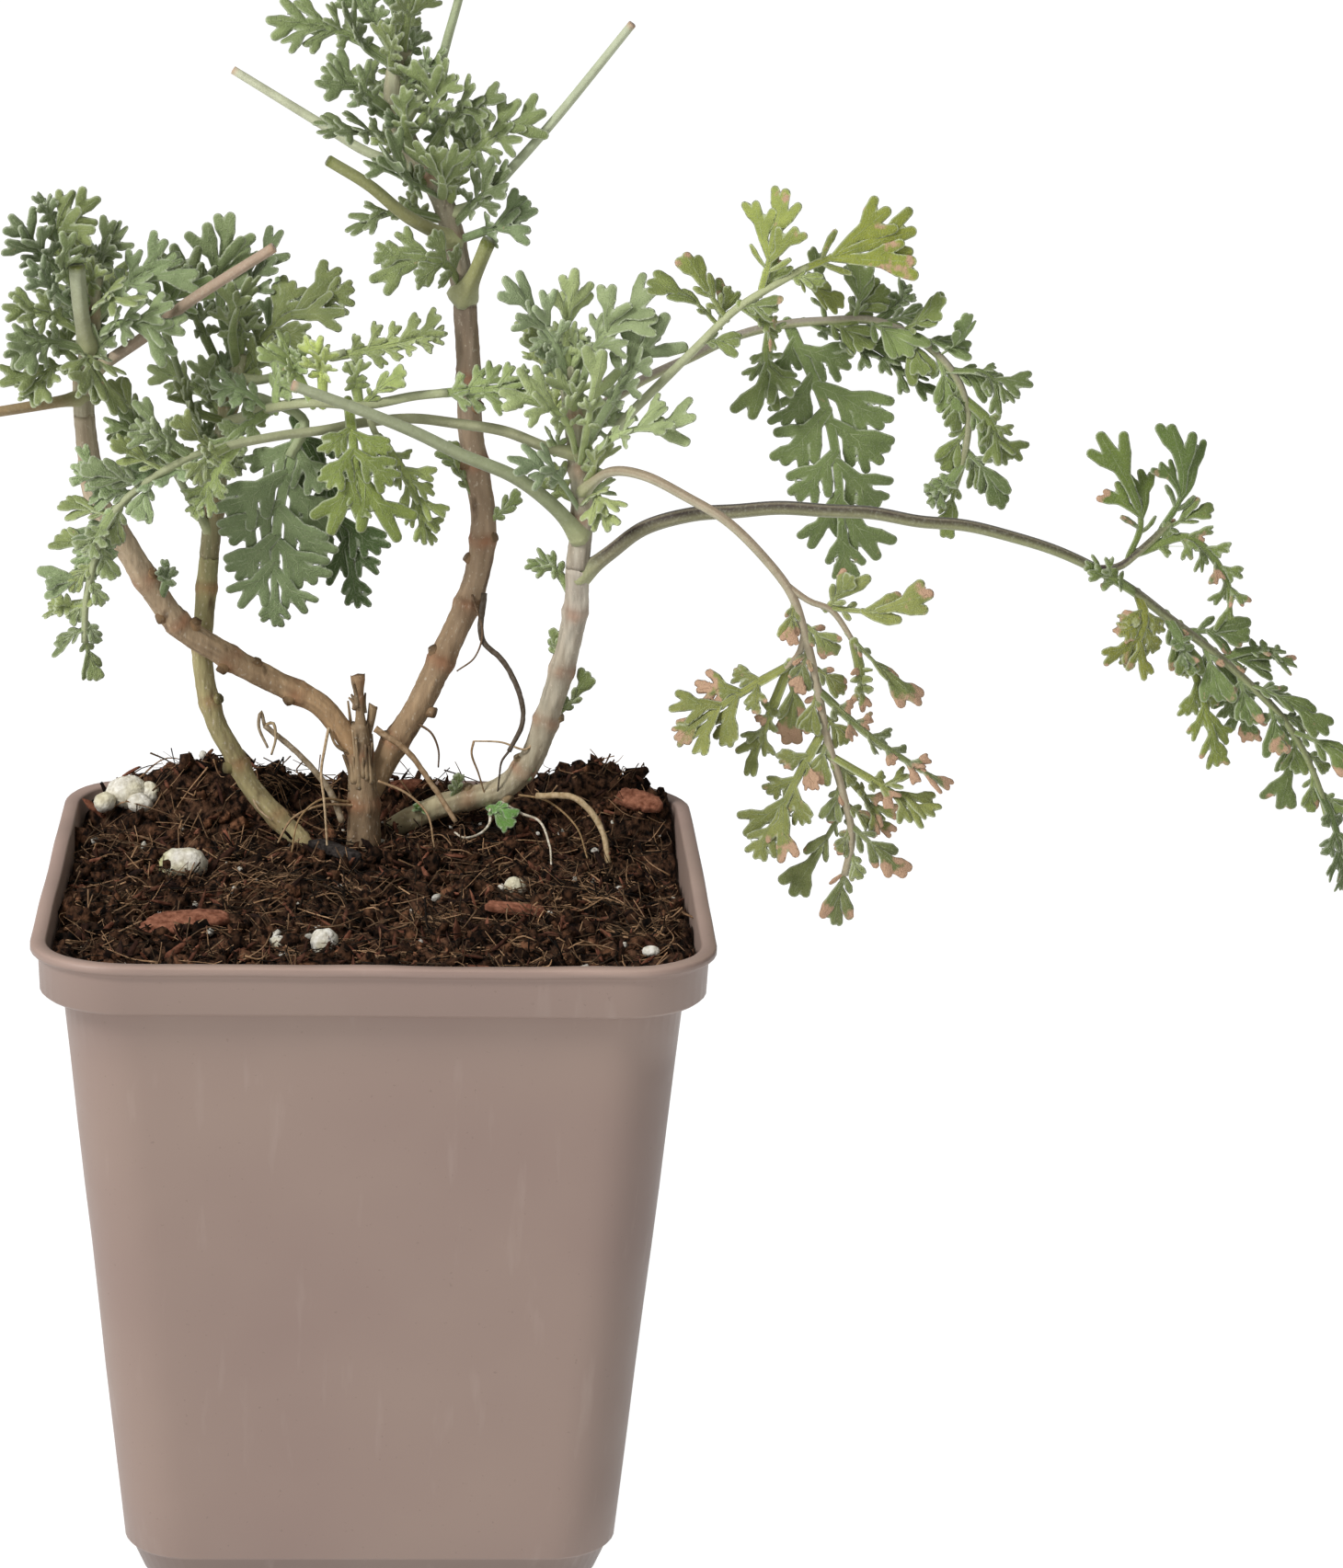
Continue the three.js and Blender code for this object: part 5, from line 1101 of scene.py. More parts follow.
FRONDS.append(dict(
    name="frond_d_long", green="768250", petioles=("8a8468", "8f9a66"), above="28121a", dry=0.3,
    slot="green_leaf", dressed=(0.7, 12, 7.5),
    stalks=[
        ([[27.6, 20.5, 130], [32, 19, 134], [36.5, 17, 138], [43, 15, 140.5], [49, 13, 141.5],
          [55, 11, 142.5], [61.5, 9.5, 142.5], [67.5, 8.5, 142.5], [74, 8, 141.5], [80.5, 8, 141],
          [87, 8, 139.5], [93.5, 8, 137.5], [100, 8, 134.5], [105, 8, 131.5], [109, 8, 128.5],
          [114.5, 8, 124.5], [120, 8, 120], [127, 8, 113], [131.5, 8, 105],
          [133.5, 8, 99]], [1.15, 0.8, 0.45]),
        ([[99, 8, 135.1], [102, 8, 135.5], [104.5, 8, 137.5], [109, 9, 141.5]], [0.6, 0.5]),
    ],
    leaves=[
        [[[103, 8, 136.2], [104.5, 7, 142.5], [98, 6, 154.5]], 4.2, "fingers", "65743e"],
        [[[107.5, 8.7, 140.3], [110.5, 9.5, 146], [108.5, 10, 155]], 3.8, "fingers", "65743e"],
        [[[107.5, 8.7, 140.3], [115, 10, 144]], 1.8, "leaflet"],
        [[[104.5, 8, 137.5], [111.5, 9, 139.5], [117.5, 10, 133], [118, 10, 125.5]], 2.7, "comb"],
        [[[104.8, 8, 131.6], [105.5, 5.5, 128.5], [103, 4, 122]], 3.5, "broad", "9c9a4a"],
        [[[111, 8, 127], [114, 7, 118.5], [117.5, 6, 107.5]], 3.4, "broad", "828a48"],
        [[[116, 8, 123.3], [120, 10, 117], [122.5, 12, 110]], 3, "broad"],
        [[[121, 8, 119], [126.5, 5.5, 117], [132, 4, 113]], 2.2, "leaflet"],
        [[[126, 8, 114], [128, 11, 107], [127.5, 13, 99.5]], 2.3, "leaflet"],
        [[[127.5, 8, 112.2], [131.5, 5, 111], [136, 3, 107.5]], 2, "leaflet"],
        [[[132, 8, 103.5], [134.5, 7, 98], [136, 6, 89.5]], 2.8, "broad"],
    ],
    more=[
        [[[104.5, 8, 131.8], [101.5, 5, 134], [96.5, 4, 137]], 1.8],
        [[[109, 8, 128.5], [111, 6, 125], [112, 5, 121]], 1.3],
        [[[117, 8, 122.5], [122.5, 11, 123], [128.5, 13, 120]], 1.5],
    ],
))

# Small leaves on the bare stems, at their feet and among the fronds, by their green
SPROUTS = {
    "8e9a70": [
        [[[-30.3, 17, 127.3], [-29.5, 15.8, 130], [-29.5, 15.5, 133]], 1.2, "small"],
        [[[13, 27.3, 140], [11, 26.8, 144], [10.5, 26.5, 148]], 1.6, "leaflet"],
        [[[12.6, 27.3, 142.5], [9.8, 26.8, 145.5], [8, 26.5, 147]], 1.2, "leaflet"],
        [[[15.4, 27.2, 136.5], [17.5, 26.4, 138.5], [19.5, 26, 141]], 1.3, "leaflet"],
        [[[27, 20.6, 127], [24.5, 21, 131], [20.5, 21.5, 132]], 1.5, "small"],
        [[[25.7, 22, 118], [24.6, 21.8, 120], [24.5, 21.8, 122.5]], 0.9, "leaflet"],
        [[[25.3, 23, 109.6], [27.6, 22.6, 112], [29.6, 22.4, 116]], 1.1, "leaflet"],
        [[[20, 24.6, 99], [21.3, 24, 101], [21.6, 24, 104]], 1, "leaflet"],
        [[[10.6, 26.2, 96.3], [11.2, 25.4, 98.2], [11.4, 25.2, 100.2]], 0.8, "leaflet"],
    ],
    "6f9a4c": [
        [[[15.8, 24.8, 95], [17.5, 22, 94.4], [19.4, 20, 93.4]], 1.2, "leaflet"],
        [[[16, 24.8, 95.2], [17.8, 22.5, 95.6], [19.6, 21, 95]], 0.9, "leaflet"],
        [[[6.2, 27.2, 93.8], [5.8, 25.6, 94.6], [5.4, 25, 95.6]], 0.5, "leaflet"],
    ],
    "a4b288": [
        [[[-19, 8, 151.2], [-22.5, 6, 147], [-25.5, 5, 141.5]], 2.6, "broad"],
        [[[-24.5, 4.8, 150.2], [-29, 3, 147.5], [-34.5, 2, 147]], 2.4, "broad"],
        [[[-15, 17.5, 154], [-19.5, 14, 151.5], [-24, 12, 146.5]], 2.6, "broad"],
        [[[-27.5, 3.6, 149], [-31.5, 4.5, 152], [-35, 5, 156.5]], 3.2, "broad"],
        [[[-34, 2, 144], [-37.5, 2, 147.5], [-41, 2, 149]], 2.4, "broad"],
        [[[-36.5, 1, 142.5], [-38, 1, 138.5], [-39, 1, 134]], 2.6, "broad"],
        [[[-15.5, 17, 154], [-19, 14.5, 157], [-23.5, 12, 158.5]], 2.6, "broad"],
        [[[-14.5, 16.2, 154.3], [-14, 14, 159], [-11.5, 12, 163.5]], 2.8, "broad"],
    ],
}

# Petioles whose blades were cut off: name, route, radii, colours at foot and end
CUT_PETIOLES = (
    ("cut_petiole_a_left", [[-40.5, 14, 156], [-43.5, 11, 156], [-47, 9, 155.7],
      [-54, 6, 155]], [0.85, 0.7], ("8f7c58", "98805e")),
    ("cut_petiole_a_right", [[-40, 14, 159], [-37, 12, 161.5], [-31.5, 11, 165.5], [-26.5, 8.5, 170],
      [-14.5, 5, 178.5]], [0.9, 0.75], ("948270", "a68e7a")),
    ("cut_petiole_c_right", [[9, 28, 179.5], [13.5, 27, 182], [18, 26, 187], [23.5, 23, 194],
      [33.5, 19, 207.5]], [0.75, 0.6], ("a2ac88", "b2b89c")),
    ("cut_petiole_c_top", [[2.5, 28, 192.5], [7, 28, 199], [9, 28, 205.5],
      [11, 28, 213]], [0.75, 0.6], ("98a27c", "a2ac88")),
    ("cut_petiole_c_left", [[5.5, 28.3, 186], [-2, 32, 187.5], [-8.5, 34, 191],
      [-21, 37, 198]], [0.75, 0.6], ("aab08c", "c2c4a8")),
    ("cut_petiole_d", [[28, 19.5, 136], [24, 17, 141], [18.5, 15, 145.5], [11, 13, 149], [4.5, 11, 152.5],
      [-2, 9, 155.5], [-12, 7, 159.5]], [1.1, 0.9, 0.75], ("98a078", "a2a888")),
)
CUT_END = "b89a80"

# Roots and dry stalks that are solids: name, route, radii, colour
STRANDS = (
    ("root_wiry", [[14.7, 25.2, 126.5], [14.5, 24.5, 120], [17.5, 23.5, 117], [20, 23, 112],
      [20.3, 23, 108], [18.5, 23, 104]], [0.45, 0.35], "6e645a"),
    ("root_tan", [[22.5, 21, 98], [28, 18, 98.5], [31.5, 15, 95], [32.5, 12, 90.8]], [0.5, 0.4], "c4ae8c"),
    ("dry_stalk_left", [[-5, 20, 94.2], [-7, 20, 99], [-11.5, 19.5, 104.5],
      [-16, 19, 108.5]], [0.5, 0.4], "b8a890"),
    ("dry_stalk_right", [[-0.5, 19.8, 108], [4, 19, 105], [7.5, 18, 100.5],
      [11, 16, 95.5]], [0.5, 0.35], "b09678"),
)

# Finer roots: route, radius, colour
FINE_ROOTS = (
    ([[13, 26.3, 126], [14.5, 24, 121], [13.5, 24, 117.5], [11, 25.6, 115]], 0.2, "8a7460"),
    ([[5.5, 24.6, 107.5], [7.5, 23, 106.5], [8.5, 23, 104], [8.5, 23, 101.5]], 0.2, "7a6450"),
    ([[22.3, 24, 106], [21, 23, 104.3], [17.4, 23, 105.3], [13.5, 23.5, 105.3]], 0.2, "c8b090"),
    ([[13.5, 23.5, 105.3], [13.2, 23.5, 103.5], [14.2, 24, 100.5], [15.2, 25, 97]], 0.2, "b09474"),
    ([[18.5, 23, 104], [17.5, 23, 102.5], [17.2, 23.5, 100], [17, 24.5, 97.5]], 0.2, "6e645a"),
    ([[16, 24.6, 95], [15.8, 21.5, 93.6], [14.3, 19.4, 92.7], [12.2, 18, 92.6],
      [10.9, 19.3, 93]], 0.24, "f0e8d8"),
    ([[17.5, 24.8, 96], [20.4, 22.3, 95], [22.7, 22, 94.2], [24.2, 15.2, 92.6],
      [24.3, 8, 91.8]], 0.22, "f0e8d8"),
    ([[-7, 20, 108], [-7.5, 19, 105.5], [-8, 18, 102], [-7.5, 16, 98], [-7, 14, 91.5]], 0.26, "c8b090"),
    ([[-3, 20.5, 96.5], [-8, 18.5, 97], [-12, 17, 95.5], [-14, 15, 92.5]], 0.24, "b09474"),
    ([[-18, 23, 97.5], [-17, 22, 95.5], [-15, 21, 94]], 0.22, "c8b090"),
    ([[-16, 19, 108.5], [-16.5, 19, 110.5], [-16.8, 18.5, 108.5], [-15.5, 18, 105.5]], 0.3, "b8a890"),
    ([[-16, 19, 108.5], [-14.8, 18.5, 109], [-14.4, 18, 107], [-15, 18, 104.5]], 0.26, "c0ac8c"),
    ([[0, 21, 100], [4, 20, 98.5], [7, 18, 96], [8, 15, 92]], 0.22, "b09474"),
    ([[-4, 20.5, 97], [-8, 18, 98], [-11, 15, 96], [-12, 12, 92]], 0.2, "a88c68"),
    ([[20, 25, 97], [24, 22, 97], [28, 18, 94.5], [29.5, 12, 91.5]], 0.18, "a88c68"),
    ([[-4, 21, 104], [-6, 20, 105.5], [-7, 20, 108]], 0.3, "a89070"),
)

# Litter: heights of the rings of a lump and of a crumb, tints, how far out fibres reach, and the tufts'
# places and headings
LUMP_RISE = np.array((-0.97, -0.6, 0.0, 0.6, 0.97))
CRUMB_RISE = np.array((-0.95, -0.4, 0.5, 0.96))
CRUMB_TINT = np.array((1.8, 1.65, 1.5))
SPLINTER_TINT = np.array((0.85, 0.82, 0.8))
FIBRE_TINT = np.array((0.62, 0.38, 0.22))
FIBRE_LIMIT = 41.4
FIBRE_TUFTS = (
    ((26, 0), 0.3), ((30, -6), 0.1), ((22, -8), -0.2), ((-14, 3), 0.2), ((-20, 16), -0.3), ((33, 8), 1.2),
    ((8, -20), -0.5), ((-4, -6), -1), ((36, -20), 0.2), ((-34, -8), 0.6), ((14, 32), 0.1),
    ((-16, 33), -0.2),
)

# Perlite and flakes: name, place and size or outline; those that are solids of the part; the stain on
# perlite; the share of its outline that a flake has at each height
SOLID_LUMPS = (
    "perlite_back_left", "perlite_left", "perlite_front", "perlite_front_small", "perlite_right",
    "bark_chip", "charred_twig",
)
PERLITE_STAIN = np.array((0.85, 0.8, 0.5))
FLAKE_PROFILE = ((0.9, 0), (1, 0.2), (1, 1.0), (0.93, 1.2), (0.5, 1.26), (0.1, 1.28))
PERLITE_LUMPS = (
    dict(name="perlite_back_left", at=[-36.2, 32.8, 94.6], size=[3.1, 2.4, 2.4]),
    dict(name="perlite_left", at=[-26.9, 7.2, 91.7], size=[3.3, 2.4, 2.3], tint="c9cb4e"),
    dict(name="perlite_front", at=[-6.6, -29.5, 92], size=[1.9, 1.6, 1.9]),
    dict(name="perlite_front_small", at=[-12.8, -28, 91.5], size=[1.4, 1.2, 1.1]),
    dict(name="perlite_right", at=[19.1, 0, 91], size=[1.5, 1.3, 1.4]),
    dict(name="perlite_cluster_a", at=[-39.2, 30.6, 93.6], size=[1.6, 1.5, 1.5]),
    dict(name="perlite_cluster_b", at=[-34, 29.8, 93.8], size=[1.9, 1.5, 1.4]),
    dict(name="perlite_cluster_c", at=[-32.9, 32.6, 94.4], size=[1.5, 1.4, 1.7]),
    dict(name="perlite_edge", at=[36.5, -29.5, 91.2], size=[1.2, 0.9, 0.7]),
)
FLAKES = (
    dict(name="bark_chip", turn=0.12, tilt=0.3, at=[-26, -20.4, 91.2],
         outline=[[-6.2, -2.2], [-1.5, -2.4], [3.5, -1.3], [6.4, -0.3], [6.2, 1.5], [1.5, 2.4], [-3.5, 1.6]]),
    dict(name="charred_twig", turn=-0.85, tilt=0, at=[-5.8, 13.8, 91.2],
         outline=[[-5, -0.9], [0, -1.1], [4.8, -0.5], [5, 0.5], [1, 1.1], [-4.5, 0.9]]),
    dict(name="bark_back_right", turn=-0.3, tilt=0.5, at=[37.5, 31, 94.2],
         outline=[[-3.2, -1.4], [0.5, -1.8], [3.4, -1], [3, 0.9], [0.2, 1.6], [-2.8, 1.1]]),
    dict(name="bark_back", turn=0.1, tilt=0.4, at=[4, 37.5, 94],
         outline=[[-2.6, -0.9], [0.4, -1.2], [2.7, -0.4], [2.4, 0.8], [-0.4, 1.1], [-2.4, 0.6]]),
    dict(name="bark_middle", turn=-0.2, tilt=0.2, at=[19, -13, 91.2],
         outline=[[-4.2, -0.6], [0, -0.9], [4, -0.3], [3.8, 0.5], [0.2, 0.8], [-4, 0.5]]),
)


def square_ring(half, corner, z, steps=10, side=18):
    """Square ring with round corners, clockwise as seen from above, with spots along its sides too."""
    arcs = []
    for quarter in range(4):
        turns = math.pi / 2 * (quarter + np.linspace(0, 1, steps + 1))
        middle = math.pi / 2 * (quarter + 0.5)
        centre = (half - corner) * np.sign((math.cos(middle), math.sin(middle)))
        arcs.append(centre + corner * np.stack([np.cos(turns), np.sin(turns)], axis=1))
    shares = np.linspace(0, 1, side + 2)[1:-1, None]
    spots = []
    for arc, following in zip(arcs, arcs[1:] + arcs[:1]):
        spots += [arc, arc[-1] + (following[0] - arc[-1]) * shares]
    flat = np.vstack(spots)[::-1]
    return np.column_stack([flat, np.full(len(flat), float(z))])


def pot_outline():
    """Half width, corner and height of the pot's rings, from its foot up the outside and down the inside."""
    round_edge = 0.25
    outline = [
        (FOOT_BASE_HALF - 0.5, FOOT_CORNER, 0),
        (FOOT_BASE_HALF, FOOT_CORNER, 0.5),
        (FOOT_TOP_HALF, FOOT_CORNER, FOOT_HEIGHT - STEP),
        (BODY_BASE_HALF - round_edge, BODY_BASE_CORNER, FOOT_HEIGHT),
        (BODY_BASE_HALF, BODY_BASE_CORNER, BODY_FOOT),
    ]
    for share in np.linspace(0.1, 1, 9):
        outline.append((
            BODY_BASE_HALF + (BODY_TOP_HALF - BODY_BASE_HALF) * share,
            BODY_BASE_CORNER + (BODY_TOP_CORNER - BODY_BASE_CORNER) * share,
            BODY_FOOT + (COLLAR_FOOT - 4 * STEP - BODY_FOOT) * share,
        ))
    outline += [
        (BODY_TOP_HALF + 0.9, BODY_TOP_CORNER + 0.5, COLLAR_FOOT - 2.2 * STEP),
        (COLLAR_HALF - 0.5, COLLAR_CORNER - 0.2, COLLAR_FOOT - 0.6 * STEP),
        (COLLAR_HALF, COLLAR_CORNER, COLLAR_FOOT + 2 * STEP),
        (COLLAR_HALF + STEP, COLLAR_CORNER, LIP_FOOT - 4 * STEP),
        (COLLAR_HALF + 0.5, COLLAR_CORNER + 0.2, LIP_FOOT - STEP),
        (LIP_HALF - 0.15, LIP_CORNER, LIP_FOOT),
        (LIP_HALF, LIP_CORNER, LIP_FOOT + round_edge),
        (LIP_HALF, LIP_CORNER, POT_HEIGHT - round_edge),
        (LIP_HALF - round_edge, LIP_CORNER, POT_HEIGHT),
        (COLLAR_HALF - WALL + STEP + 0.3, COLLAR_CORNER - WALL / 2, POT_HEIGHT),
        (COLLAR_HALF - WALL + STEP, COLLAR_CORNER - WALL / 2, POT_HEIGHT - 0.3),
        (COLLAR_HALF - WALL, COLLAR_CORNER - WALL, COLLAR_FOOT + 3 * STEP),
        (BODY_TOP_HALF - WALL, BODY_TOP_CORNER - WALL, COLLAR_FOOT - WALL),
        (BODY_BASE_HALF - WALL, BODY_BASE_CORNER - WALL, BODY_FOOT),
        (FOOT_BASE_HALF - WALL, FOOT_CORNER - WALL, FLOOR),
    ]
    return outline


def make_pot():
    """The moulded pot, slightly warped: painted highlight on the lip's crest, painted shade on foot and right
    side.
    """
    rings = np.array([square_ring(*ring) for ring in pot_outline()])
    upright = np.clip((rings[..., 2:] - FOOT_HEIGHT) / 20, 0, 1)
    outward = unit(rings[..., :2] + 1e-6)
    rings[..., :2] += outward * upright * 0.16 * rough(rings, 0.05, 4)[..., None]
    lip = np.clip(rings[..., 2] - LIP_FOOT + 1, 0, 1)
    rings[..., 2] += lip * 0.22 * rough(rings, 0.09, 11) - lip * 0.12
    # Painted highlight: the lip's crest is painted paler, as if catching the light.
    crest_highlight = np.exp(-(((rings[..., 2] - POT_HEIGHT) / 0.3) ** 2))
    # Painted shade: the right side, away from the lamps, and the recessed foot are painted darker.
    right = np.clip(rings[..., 0] / rings[..., 0].max(axis=1, keepdims=True) * 5 - 4, 0, 1)
    foot = np.clip((FOOT_HEIGHT + STEP - rings[..., 2]) / 0.6, 0, 1)
    bag = Bag()
    bag.add(rings, (1 + 0.75 * crest_highlight - 0.3 * foot - 0.17 * right)[..., None] * WHITE)
    pot = bag.piece("pot_shell", POT, "pot_plastic", ["pot"])
    punch_drains(pot)


def punch_drains(pot):
    """Cut the four drain holes out of the pot's floor."""
    bpy.ops.mesh.primitive_cylinder_add(vertices=32, radius=DRAIN_RADIUS * MM, depth=3 * FLOOR * MM)
    punch = bpy.context.object
    spots = np.array([vertex.co for vertex in punch.data.vertices])
    faces = [list(polygon.vertices) for polygon in punch.data.polygons]
    many_spots = []
    many_faces = []
    for x, y in ((1, 1), (-1, 1), (-1, -1), (1, -1)):
        many_faces += [[corner + len(many_spots) for corner in face] for face in faces]
        many_spots += (spots + np.array((x * DRAIN_PLACE, y * DRAIN_PLACE, FLOOR / 2)) * MM).tolist()
    punch.data = bpy.data.meshes.new("drains")
    punch.data.from_pydata(many_spots, [], many_faces)
    drain = pot.modifiers.new("drain", "BOOLEAN")
    drain.object = punch
    drain.operation = "DIFFERENCE"
    graph = bpy.context.evaluated_depsgraph_get()
    punched = bpy.data.meshes.new_from_object(pot.evaluated_get(graph))
    pot.modifiers.clear()
    pot.data = punched
    bpy.data.objects.remove(punch)


def soil_top(x, y):
    """The soil's height: a low ripple and its swells."""
    height = SOIL_LEVEL + 0.7 * np.sin(0.55 * x + 1.3) * np.cos(0.48 * y - 0.4)
    height = height + 0.4 * np.sin(1.1 * x - 0.7 * y)
    for swell_x, swell_y, wide, deep, high in SOIL_SWELLS:
        height = height + high * np.exp(-((x - swell_x) / wide) ** 2 - ((y - swell_y) / deep) ** 2)
    return height


def make_soil():
    """The peat: rings up the pot's wall and then inward over its top, which is cloddy."""
    wall = (
        (FOOT_BASE_HALF, FOOT_CORNER, FLOOR + SOIL_GAP),
        (BODY_BASE_HALF, BODY_BASE_CORNER, FOOT_HEIGHT + 4 * STEP),
        (BODY_TOP_HALF, BODY_TOP_CORNER, COLLAR_FOOT - WALL + STEP),
        (COLLAR_HALF, COLLAR_CORNER, COLLAR_FOOT + 5 * STEP),
    )
    rings = [square_ring(half - SOIL_INSET, corner - SOIL_INSET, z, 16, 56) for half, corner, z in wall]
    for shrink in np.linspace(1, 0.02, 72) ** 0.8:
        ring = rings[3] * (shrink, shrink, 0)
        ring[:, 2] = soil_top(ring[:, 0], ring[:, 1])
        clods = 1.6 * np.abs(rough(ring, 0.22, 2)) + 0.8 * rough(ring, 0.6, 5) + 0.5 * rough(ring, 1.7, 9)
        ring[:, 2] += clods - 0.7
        rings.append(ring)
    rings = np.array(rings)
    bag = Bag()
    bag.add(rings, np.clip(1 + 0.8 * rough(rings, 0.16, 3), 0.3, 1.9)[..., None] * WHITE)
    bag.piece("soil_bed", PEAT, "peat_soil", ["soil"])


def lumps(centres, sizes, rng, rises=LUMP_RISE, sides=6, wobble=0.25, turned=True):
    """Rings of small rough balls, each turned its own way unless asked not to."""
    count = len(centres)
    turn = rng.uniform(0, 6, (count, 1, 1)) - turns_round(sides)
    wobbles = rng.uniform(1 - wobble, 1 + wobble, (count, len(rises), sides))
    radius = np.sqrt(1 - rises ** 2)[None, :, None] * wobbles
    height = rises[None, :, None] + 0 * radius
    ball = np.stack([radius * np.cos(turn), radius * np.sin(turn), height], axis=-1)
    ball = ball * sizes[:, None, None]
    if turned:
        turns = np.linalg.qr(rng.normal(size=(count, 3, 3)))[0]
        turns[:, :, 0] *= np.linalg.det(turns)[:, None]
        ball = np.einsum("nij,nrsj->nrsi", turns, ball)
    return centres[:, None, None] + ball


def on_soil(rng, count, half=41.5):
    """Spots scattered over the soil."""
    x, y = rng.uniform(-half, half, (2, count))
    keep = np.abs(x) + np.abs(y) < 2 * half - 7
    x, y = x[keep], y[keep]
    return np.stack([x, y, soil_top(x, y)], axis=1)


def make_crumbs(rng):
    """Peat crumbs, darker and paler in patches."""
    spots = on_soil(rng, 2000)
    sizes = rng.uniform(0.2, 1, (len(spots), 1)) ** 2.4 * rng.uniform(0.3, 1.7, (len(spots), 3)) * 1.3 + 0.12
    spots[:, 2] += rng.uniform(-0.3, 0.4, len(spots))
    patches = np.clip(1 + 1.3 * rough(spots, 0.09, 6), 0.35, 1.8)[:, None, None, None]
    shade = patches * rng.uniform(0.1, 1.0, (len(spots), 1, 1, 1)) ** 1.5 * CRUMB_TINT
    bag = Bag()
    bag.add(lumps(spots, sizes, rng, CRUMB_RISE, 5, 0.6), shade)
    bag.piece("soil_crumbs", PEAT, "peat_soil")


def make_splinters(rng):
    """Thin splinters of bark."""
    spots = on_soil(rng, 600)
    sizes = rng.uniform(0.7, 1.3, (len(spots), 3)) * np.array((1.7, 0.38, 0.2))
    sizes *= rng.uniform(0.4, 1.3, (len(spots), 1))
    spots[:, 2] += rng.uniform(0.1, 0.8, len(spots))
    shade = rng.uniform(0.2, 1.0, (len(spots), 1, 1, 1)) ** 2 * SPLINTER_TINT
    bag = Bag()
    bag.add(lumps(spots, sizes, rng, wobble=0.4), shade)
    bag.piece("soil_splinters", FLAKE, "bark_flake")


def make_fibres(rng):
    """Fibres bowed over the soil, in tufts of about one heading and loose."""
    tufts = [(spot, rng.uniform(0, 2 * math.pi), 9) for spot in on_soil(rng, 26)]
    tufts += [(np.array((*place, soil_top(*place))), heading, 40) for place, heading in FIBRE_TUFTS]
    loose = [(spot, rng.uniform(0, 2 * math.pi)) for spot in on_soil(rng, 1400)]
    for spot, heading, count in tufts:
        near = spot + rng.normal(size=(count, 3)) * np.array((1.8, 1.8, 0.2))
        loose += [(place, heading + rng.normal() * 0.5) for place in near]
    bag = Bag()
    for spot, heading in loose:
        reach = rng.uniform(0.8, 4.5)
        step = np.array((math.cos(heading), math.sin(heading), 0)) * reach
        bow = rng.uniform(-0.5, 0.5) * np.array((-step[1], step[0], 0))
        bow[2] = rng.uniform(0.1, 1.2)
        ends = [spot - step, spot + bow, spot + step]
        for end in (ends[0], ends[2]):
            end[:2] = np.clip(end[:2], -FIBRE_LIMIT, FIBRE_LIMIT)
            end[2] = soil_top(*end[:2]) + rng.uniform(-0.1, 0.6) + 3.4 * rng.random() ** 5
        thin = rng.uniform(0.05, 0.17)
        rings = tube_rings(ends, [thin, thin * 0.4], 3, 1.0)[0]
        bag.add(rings, FIBRE_TINT * rng.uniform(0.08, 1.0) ** 2.4)
    bag.piece("soil_fibres", ROOT, "dry_root")


def make_specks(rng):
    """Small grains of perlite."""
    spots = on_soil(rng, 70)
    sizes = rng.uniform(0.15, 0.6, (len(spots), 1)) * rng.uniform(0.7, 1.4, (len(spots), 3))
    spots[:, 2] += 0.5
    bag = Bag()
    bag.add(lumps(spots, sizes, rng, wobble=0.4), rng.uniform(0.6, 1.0, (len(spots), 1, 1, 1)) * WHITE)
    bag.piece("perlite_specks", PERLITE, "perlite")


def make_perlite():
    """The larger lumps of perlite, knobbly and stained."""
    rises = np.sin(np.linspace(-1.45, 1.45, 14))
    for item in PERLITE_LUMPS:
        name, size = item["name"], item["size"]
        rng = np.random.default_rng(len(name))
        centre = np.array(item["at"], float)
        rings = lumps(centre[None], np.array([size], float), rng, rises, 20, 0.03, False)
        bump = 1 + 0.2 * rough(rings, 0.35, centre[0]) + 0.1 * rough(rings, 1.1, 6)
        rings = centre + (rings - centre) * bump[..., None]
        stain = np.clip(rough(rings, 0.35, 2) + 0.1, 0, 0.5)[..., None]
        paint = WHITE * (1 - stain) + PERLITE_STAIN * stain
        if "tint" in item:
            share = np.clip((centre[0] - rings[..., :1]) / size[0] - 0.35, 0, 0.9)
            paint = paint * (1 - share) + rgb(item["tint"]) * share
        bag = Bag()
        bag.add(rings, paint)
        bag.piece(name + "_lump", PERLITE, "perlite", [name] if name in SOLID_LUMPS else ())


def make_flakes():
    """Flat chips of bark and char with ragged outlines."""
    for item in FLAKES:
        name = item["name"]
        bark = name.startswith("bark")
        material, slot = (FLAKE, "bark_flake") if bark else (CHAR, "charred_wood")
        outline = np.array(item["outline"] + item["outline"][:1], float)
        flat = spline(np.column_stack([outline, np.zeros(len(outline))]), 49)[:-1]
        flat += unit(flat) * (0.5 if bark else 0.18) * rough(flat, 1.9 if bark else 1.3, 3)[:, None]
        rings = np.array([flat[::-1] * share + np.array((0, 0, z)) for share, z in FLAKE_PROFILE])
        rings[..., 2] += 0.12 * rough(rings, 0.9, 8) * (rings[..., 2] > 0.5)
        turn = Matrix.Rotation(item["tilt"], 3, "X") @ Matrix.Rotation(item["turn"], 3, "Z")
        bag = Bag()
        bag.add(rings @ np.array(turn).T + np.array(item["at"]), WHITE)
        bag.piece(name + "_flake", material, slot, [name] if name in SOLID_LUMPS else ())


def make_stems():
    """The crown with its prongs, loose bark and two stems, and the two stems beside it."""
    seed = 0
    for name, node, slot, woods in WOODS:
        bag = Bag()
        for wood in woods:
            seed += 1
            woody(bag, wood["route"], wood["radii"], wood["colours"], wood["knots"], seed)
            if "stumps" in wood:
                knobs(bag, wood["route"], *wood["stumps"], 27 + seed)
        if name == "crown":
            for strips in LOOSE_BARK:
                loose_bark(bag, *strips)
        bag.piece(name, BARK, slot, [node])


